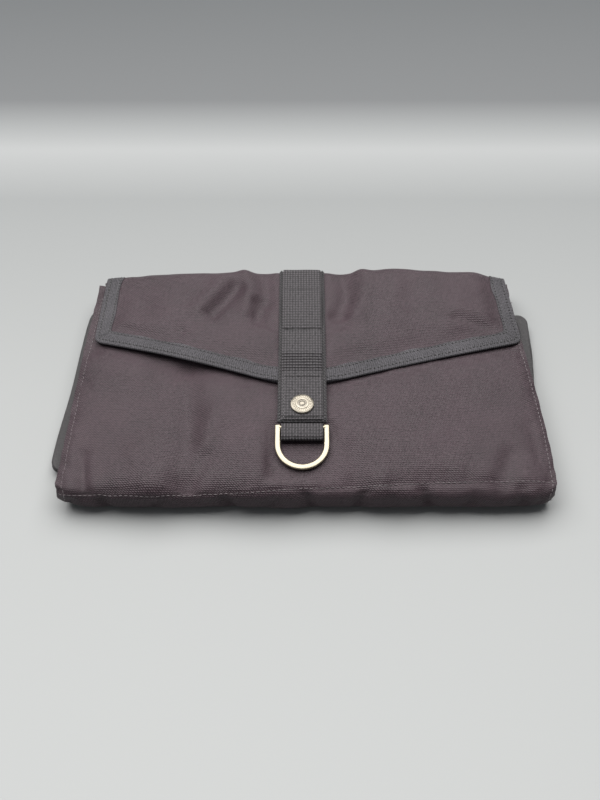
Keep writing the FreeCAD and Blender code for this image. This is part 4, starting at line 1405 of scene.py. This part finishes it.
def swept(name, centres, outs, up, profile):
    """A closed bar: the profile (outwards, upwards) is carried along the centres and capped."""
    corners, faces = [], []
    for centre, out in zip(centres, outs):
        corners += [tuple(centre + a * out + b * up) for a, b in profile]
    n = len(profile)
    for i in range(len(centres) - 1):
        for j in range(n):
            k = (j + 1) % n
            faces.append((i * n + j, i * n + k, (i + 1) * n + k, (i + 1) * n + j))
    last = (len(centres) - 1) * n
    faces += [tuple(reversed(range(n))), tuple(range(last, last + n))]
    mesh = bpy.data.meshes.new(name)
    mesh.from_pydata(corners, [], faces)
    return mesh


def rounded_bar(wide, thick, radius, corner_points=4):
    """The outline of a bar with rounded edges."""
    outline = []
    for cx, cz, start in ((1, 1, 0), (-1, 1, 90), (-1, -1, 180), (1, -1, 270)):
        for angle in np.radians(np.linspace(start, start + 90, corner_points)):
            x = cx * (wide / 2 - radius) + radius * math.cos(angle)
            outline.append((x, cz * (thick / 2 - radius) + radius * math.sin(angle)))
    return outline


# %% D-ring
forward = np.array([0, -math.cos(RING_TILT), -math.sin(RING_TILT)])
upward = np.array([0, -math.sin(RING_TILT), math.cos(RING_TILT)])
across = np.array([1.0, 0, 0])
middle_radius = RING_IN + BAND_WIDE / 2
line = [(-middle_radius, t, -1, 0) for t in np.linspace(-RING_BUTT, RING_REACH, 6)[:-1]]
for angle in np.linspace(math.pi, 0, 41):
    c, d = math.cos(angle), math.sin(angle)
    line.append((middle_radius * c, RING_REACH + middle_radius * d, c, d))
line += [(middle_radius, t, 1, 0) for t in np.linspace(RING_REACH, -RING_BUTT, 6)[1:]]
centres = [RING_AXIS + across * a + forward * b for a, b, _, _ in line]
outs = [across * c + forward * d for _, _, c, d in line]
ring_mesh = swept("ring_band", centres, outs, upward, rounded_bar(BAND_WIDE, BAND_THICK, 0.0007))
bar_ends = [RING_AXIS + across * a for a in np.linspace(-RING_IN - 0.001, RING_IN + 0.001, 3)]
turns = np.linspace(0, math.tau, 21)[:-1]
bar_outline = [(BAR_RADIUS * math.cos(a), BAR_RADIUS * math.sin(a)) for a in turns]
bar_mesh = swept("ring_bar", bar_ends, [forward] * 3, upward, bar_outline)


def one_piece(name, meshes, material, sharp=40):
    """Joins meshes into one piece with its faces pointing outwards."""
    bm = bmesh.new()
    for mesh in meshes:
        bm.from_mesh(mesh)
    bmesh.ops.recalc_face_normals(bm, faces=bm.faces)
    mesh = bpy.data.meshes.new(name)
    bm.to_mesh(mesh)
    bm.free()
    mesh.materials.append(material)
    mesh.shade_smooth()
    mesh.set_sharp_from_angle(angle=math.radians(sharp))
    piece = bpy.data.objects.new(name, mesh)
    bpy.context.scene.collection.objects.link(piece)
    return piece


ring = one_piece("dee_ring", [ring_mesh, bar_mesh], plate)
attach(ring, "ring")
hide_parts("d_ring")


# %% Turned solids
def turned(name, profile, centre, materials, band, steps=72):
    """A closed solid turned about Z; faces whose radius is in the band take the second material."""
    angles = np.arange(steps) * math.tau / steps
    vertices, faces, kinds = [], [], []
    for r, z in profile:
        vertices += [(centre[0] + r * math.cos(a), centre[1] + r * math.sin(a), z) for a in angles]
    for i, ((inner, _), (outer, _)) in enumerate(zip(profile, profile[1:])):
        for j in range(steps):
            k = (j + 1) % steps
            faces.append((i * steps + j, i * steps + k, (i + 1) * steps + k, (i + 1) * steps + j))
            kinds.append(int(band[0] < (inner + outer) / 2 < band[1]))
    faces.append(tuple(reversed(range(steps))))
    faces.append(tuple((len(profile) - 1) * steps + j for j in range(steps)))
    kinds += [0, 0]
    mesh = bpy.data.meshes.new(name)
    mesh.from_pydata(vertices, [], faces)
    mesh.polygons.foreach_set("material_index", kinds)
    for material in materials:
        mesh.materials.append(material)
    mesh.shade_smooth()
    mesh.set_sharp_from_angle(angle=math.radians(32))
    piece = bpy.data.objects.new(name, mesh)
    bpy.context.scene.collection.objects.link(piece)
    return piece


# %% Snap cap
cap_low, cap_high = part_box("snap_cap")
cap_centre = ((cap_low.x + cap_high.x) / 2, (cap_low.y + cap_high.y) / 2)
seat = 0.03185  # the top of the webbings under the cap
cap_profile = [
    (0.0019, 0.0292),
    (0.0019, seat),
    (0.0067, seat),
    (0.0071, seat + 0.0004),
    (0.0071, seat + 0.0008),
    (0.0069, seat + 0.00125),
    (0.0064, seat + 0.0015),
    (0.0061, seat + 0.0016),
    (0.0059, seat + 0.0014),
    (0.0042, seat + 0.0015),
    (0.0040, seat + 0.00175),
    (0.0034, seat + 0.0019),
    (0.0029, seat + 0.0018),
    (0.0027, seat + 0.0015),
    (0.0020, seat + 0.0015),
    (0.0018, seat + 0.0017),
    (0.0013, seat + 0.0020),
    (0.0004, cap_high.z - 0.0003),
]
cap = turned("snap_cap_face", cap_profile, cap_centre, [antique, recess], band=(0.0019, 0.0028))
BEADS, BEAD_RADIUS = 26, 0.0050
bead_lines = []
for k in range(BEADS):
    angle = k * math.tau / BEADS
    outwards = np.array([math.cos(angle), math.sin(angle), 0])
    spot = np.array([*cap_centre, seat + 0.0015]) + BEAD_RADIUS * outwards
    half = outwards * 0.00045
    bead_lines.append(np.array([spot - half, spot, spot + half]))
beads = seam(
    "snap_cap_beads",
    bead_lines,
    STITCHES,
    Pitch=0.0004,
    Length=0.0005,
    Thickness=0.00038,
    Thread=recess,
)
for piece in (cap, beads):
    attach(piece, "flap")
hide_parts("snap_cap")


# %% [markdown]
# ## What is folded inside
# The bag and its two sleeves are flat packets of cloth. Each ply is a closed slab with rounded folds,
# a little out of line with the next one, as hand-folded cloth is.


# %% One folded ply
def in_from(share, span):
    """How far a point is from the nearer end of a span."""
    return np.minimum(share, 1 - share) * span


def ply(name, sides, ends, under, over, material, seed, turn=0.0, corner=0.007, grid=(70, 46), pleat=0.0):
    """A closed flat ply between two heights, with rounded edges."""
    u, v = np.meshgrid(np.linspace(0, 1, grid[0]), np.linspace(0, 1, grid[1]))
    u = (1 - np.cos(u * math.pi)) / 2
    v = (1 - np.cos(v * math.pi)) / 2
    width, length = sides[1] - sides[0], ends[1] - ends[0]
    wobble = 0.0009
    x = sides[0] + u * width
    y = ends[0] + v * length
    x = x + wobble * (2 * u - 1) * ripple(y, y * 0, 0.05, seed)
    y = y + wobble * (2 * v - 1) * ripple(x, x * 0, 0.06, seed + 1)
    to_corner = np.maximum(corner - in_from(v, length), 0)
    round_off = corner - np.sqrt(corner**2 - to_corner**2)
    centre = (sides[0] + sides[1]) / 2
    x = centre + (x - centre) * (1 - round_off * 2 / width)
    if turn:
        c, s = math.cos(turn), math.sin(turn)
        x, y = x * c - y * s, x * s + y * c
    low, high = under(x, y), over(x, y)
    half = (high - low) / 2
    inside = np.clip(np.minimum(in_from(u, width), in_from(v, length)) / half, 0, 1)
    swell = np.sqrt(np.maximum(1 - (1 - inside) ** 2, 0))
    bulge = half * swell * (1 + 0.10 * ripple(x, y, 0.04, seed + 2) - 0.10)
    if pleat:
        bulge = bulge * (1 - pleat * (0.5 + 0.5 * np.sin(x * math.tau / 0.0032)))
    middle_z = (low + high) / 2
    weave = np.stack([x, y], -1)
    upper = cloth(name, np.stack([x, y, middle_z + bulge], -1), weave)
    lower = cloth(name + "_under", np.stack([x, y, middle_z - bulge], -1), weave, flip=True)
    for half_ply in (upper, lower):
        half_ply.data.materials.append(material)
    return upper, lower


def joined(name, parts):
    """Joins objects into one and welds their shared edges."""
    bm = bmesh.new()
    for part in parts:
        bm.from_mesh(part.data)
    bmesh.ops.remove_doubles(bm, verts=bm.verts, dist=1e-5)
    mesh = bpy.data.meshes.new(name)
    bm.to_mesh(mesh)
    bm.free()
    mesh.materials.append(parts[0].data.materials[0])
    mesh.shade_smooth()
    for part in parts:
        bpy.data.objects.remove(part)
    piece = bpy.data.objects.new(name, mesh)
    bpy.context.scene.collection.objects.link(piece)
    return piece


# %% The folded bag and the inner bag
bag_low, bag_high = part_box("outer_bag")
BAG_IN = 0.0046  # the wrap's thickness and a little room
BAG_CORNER = 0.020
SLIPS = (0.0, -0.0022, 0.0004, -0.0030, -0.0008)  # how far each ply sits out of line


def level(share):
    """The height at a share of the packet's thickness, as a function of place."""

    def height(x, y):
        floor = bag_low.z + 1.1 * underside(x, y)
        return floor + share * (panel_height(np.clip(x, -HALF, HALF), y) - BAG_IN - floor)

    return height


parts = []
for k, slip in enumerate(SLIPS):
    sides = (bag_low.x - slip, bag_high.x + slip)
    ends = (bag_low.y + 0.001, bag_high.y + slip)
    under, over = level(k / len(SLIPS)), level((k + 1) / len(SLIPS))
    parts += ply(f"bag_ply_{k}", sides, ends, under, over, bag_cloth, 40 + 3 * k, corner=BAG_CORNER)
folded_bag = joined("folded_bag", parts)
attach(folded_bag, "wrap")
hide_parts("outer_bag")

inner_low, inner_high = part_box("inner_bag")
sides = (inner_low.x + 0.006, inner_high.x - 0.006)
ends = (inner_low.y + 0.006, inner_high.y - 0.006)
halves = ply("inner_ply", sides, ends, level(0.12), level(0.88), bag_cloth, 60, corner=BAG_CORNER)
inner_ply = joined("inner_bag_ply", halves)
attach(inner_ply, "wrap")
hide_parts("inner_bag")
print("the folded bag has", len(SLIPS), "plies and", len(folded_bag.data.polygons), "faces")


# %% Sleeves and cuffs
def flat_level(z):
    """The same height everywhere."""
    return lambda x, y: np.full(np.shape(x), z)


CUFF_LENGTH, CUFF_IN = 0.0055, 0.012
ARMS = {
    "left": ((-0.1508, -0.0360), (-0.0750, 0.0560), math.radians(-4.4)),
    "right": ((0.0350, 0.1462), (-0.0700, 0.0712), math.radians(-3.4)),
}
for side, (sides, ends, skew) in ARMS.items():
    plies = []
    for k, low in enumerate((0.0035, 0.0055)):
        span = (sides[0] + 0.0004 * k, sides[1] - 0.0004 * k)
        under, over = flat_level(low), flat_level(low + 0.0020)
        plies += ply(f"{side}_ply{k}", span, ends, under, over, sleeve_cloth, 70 + 5 * k, skew)
    sleeve = joined(f"sleeve_{side}", plies)
    cuff_halves = ply(
        f"{side}_cuff_ply",
        (sides[0] + CUFF_IN, sides[1] - CUFF_IN),
        (ends[1] - 0.0012, ends[1] + CUFF_LENGTH),
        flat_level(0.0036),
        flat_level(0.0074),
        elastic,
        90,
        skew,
        grid=(200, 46),
        pleat=0.35,
    )
    cuff = joined(f"cuff_{side}", cuff_halves)
    for piece, node, slot in ((sleeve, "sleeve", "sleeve_cloth"), (cuff, "cuff", "elastic")):
        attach(piece, f"{side}_arm")
        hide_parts(f"{side}_{node}")
    print("the", side, "sleeve is", round(ends[1] - ends[0], 3), "m long as folded")

# %% [markdown]
# ## The zips
# The outer and the inner bag each close with a coil zip, one above the other behind the packet. The
# tapes are woven strips between two lips of bag cloth, and a node tree lays the coil's loops.


# %% Strips of cloth
def strip(name, node, material, wave=0.0002, seed=5, columns=90, rows=7):
    """A thin upright or flat strip of cloth in a solid's place, as a closed slab."""
    low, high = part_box(node)
    x = np.linspace(low.x, high.x, columns)
    flat = abs(high.y - low.y) > abs(high.z - low.z)
    t = np.linspace(0, 1, rows)[:, None]
    sag = wave * (1 + ripple(x, x * 0, 0.03, seed)) / 2 * np.sin(math.pi * t)
    if flat:
        y = low.y + (high.y - low.y) * t + 0 * x
        z = high.z - sag
    else:
        y = high.y - sag
        z = low.z + (high.z - low.z) * t + 0 * x
    points = np.stack([np.broadcast_to(x, y.shape), y, z], -1)
    piece = cloth(name, points, np.stack([points[..., 0], y + z], -1), flip=not flat)
    piece.data.materials.append(material)
    thickness = (high.z - low.z) if flat else (high.y - low.y)
    thicken(piece, thickness, edge=thickness * 0.2)
    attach(piece, "wrap")
    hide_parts(node)


# %% Coils
COIL_PITCH = 0.0013


def coil_loops(low, high, start):
    """Low arches across a box, one each pitch, the first one a share of a pitch from its end."""
    y = np.linspace(low.y + 0.0003, high.y - 0.0003, 5)
    z = low.z + 0.0004 + 0.0010 * np.sin(np.linspace(0.15, math.pi - 0.15, 5))
    places = low.x + (np.arange(int((high.x - low.x) / COIL_PITCH)) + start) * COIL_PITCH
    return [np.stack(np.broadcast_arrays(x, y, z), -1) for x in places]


# %% Two zips
for node in ("facing_front", "facing_rear"):
    strip(node.replace("facing", "zip_lip"), node, bag_cloth)
for which in ("outer", "inner"):
    for side, start in (("front", 0.5), ("rear", 1.0)):
        tape_node, coil_node = f"{which}_zip_tape_{side}", f"{which}_zip_coil_{side}"
        strip(f"{which}_tape_{side}", tape_node, zip_cloth, wave=0.0001)
        arches = coil_loops(*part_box(coil_node), start)
        coil = seam(f"{which}_coil_{side}", arches, THREAD, Thickness=0.0007, Thread=enamel)
        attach(coil, "wrap")
        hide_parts(coil_node)
